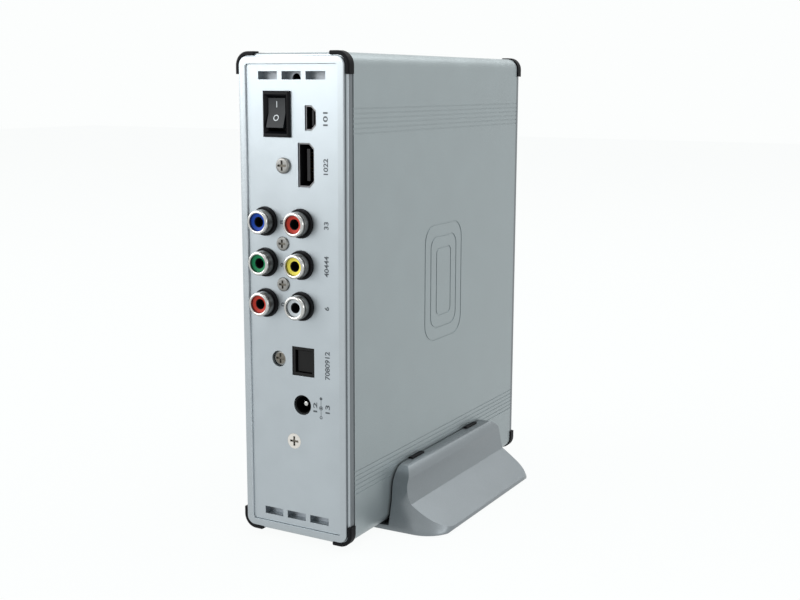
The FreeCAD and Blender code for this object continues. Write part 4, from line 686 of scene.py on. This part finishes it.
for low_z, high_z in ((47.2, 49.1), (50.7, 52.6)):
    stroke = bmesh.ops.create_grid(sign, x_segments=1, y_segments=1, size=0.5)["verts"]
    bmesh.ops.scale(sign, vec=(sign_line, high_z - low_z, 1), verts=stroke)
    bmesh.ops.rotate(sign, matrix=Matrix.Rotation(math.pi / 2, 3, "X"), verts=stroke)
    bmesh.ops.translate(sign, vec=(sign_x, panel_face - ink_lift, (low_z + high_z) / 2), verts=stroke)
bmesh.ops.remove_doubles(sign, verts=sign.verts, dist=0.0005)
bmesh.ops.scale(sign, vec=(MM, MM, MM), verts=sign.verts)
for face in sign.faces:
    if face.normal.y > 0:
        face.normal_flip()
seat("polarity_sign", sign, [ink], "tray")

# Case sleeve. One length of extruded aluminium with fine grooves near the top and the bottom of
# each side and an engraving of nested outlines, sand blasted and anodised grey.
# painted glints: bright specks in the anodised grey stand in for the sparkle of the blasted surface
anodised = finish("anodised_aluminium", (0.300, 0.340, 0.350), 0.42, metallic=0.8, grain_mm=0.30, shade=0.08,
                  bump=0.25, painted_glint=0.35)
dress("case_sleeve", anodised)

# Bezels. One moulded ring at each end, painted silver, with a raised rim round the panel and a
# lower band that lies flush with the sleeve, and black rubber corners let into it.
bezel_silver = finish("silver_plastic", (0.36, 0.395, 0.415), 0.30, metallic=0.75, grain_mm=0.2, shade=0.03,
                      bump=0.08)
# painted shade: a darker copy of the silver for the bezel's right side
bezel_painted_shade = finish("silver_plastic_painted_shade", (0.150, 0.165, 0.175), 0.36, metallic=0.75, grain_mm=0.2,
                    shade=0.03, bump=0.08)
bumper_rubber = finish("black_rubber", (0.003, 0.003, 0.004), 0.55, grain_mm=0.15, shade=0.25, bump=0.25,
                       Specular_IOR_Level=0.1)
# painted light: a pale paint on the step between the left rim and the panel, which lies in shade
step_painted_light = finish("pale_step_painted_light", (0.62, 0.66, 0.68), 0.5, grain_mm=0.2, shade=0.03)
rim_side_x = 14
case_wall_x = 19
rim_foot_y = -64


def bezel_paint(centre, normal):
    """2, painted light, in the step between the left rim and the panel; 1, painted shade, on the right side;
    0 elsewhere.
    """
    if abs(normal.y) > 0.6 or abs(normal.x) < 0.5:
        return 0
    if -case_wall_x < centre.x < 0 and normal.x > 0 and centre.y < rim_foot_y:
        return 2
    return centre.x > rim_side_x


for end in ("rear", "front"):
    dress(end + "_bezel", bezel_silver, bezel_painted_shade, step_painted_light, sharp_deg=40, second=bezel_paint)
    dress(end + "_corner_bumpers", bumper_rubber, ease_mm=0.15)

# Plain end. A flat silver panel with a dark red window for the receiver and two light guides, held
# in the bezel by four screws from inside.
smoked_window = finish("smoked_window", (0.030, 0.004, 0.006), 0.10, grain_mm=0.6, shade=0.1, bump=0.02,
                       Coat_Weight=0.5)
dress("front_panel", panel_silver, ease_mm=0.08)
dress("front_window", smoked_window, ease_mm=0.1)
dress("front_light_pipes", clear_pipe, ease_mm=0.12)
dress("front_bezel_screws", nickel, ease_mm=0.12)

# Cradle. A moulded shell in silver metallic paint whose wings sweep out to the table, lined with
# black plastic round the case, with a rubber grip at each side and four rubber feet.
# painted glints: bright specks in the silver paint
cradle_silver = finish("silver_paint", (0.205, 0.227, 0.240), 0.36, metallic=0.75, grain_mm=0.25, shade=0.06,
                       bump=0.15, painted_glint=0.2)
dress("stand_shell", cradle_silver)
dress("stand_liner", black_plastic)
dress("stand_grip_pads", bumper_rubber, ease_mm=0.1)
dress("stand_feet", bumper_rubber, ease_mm=0.15)

# Sizes. The box round this model, in metres, without the table.
low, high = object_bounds()
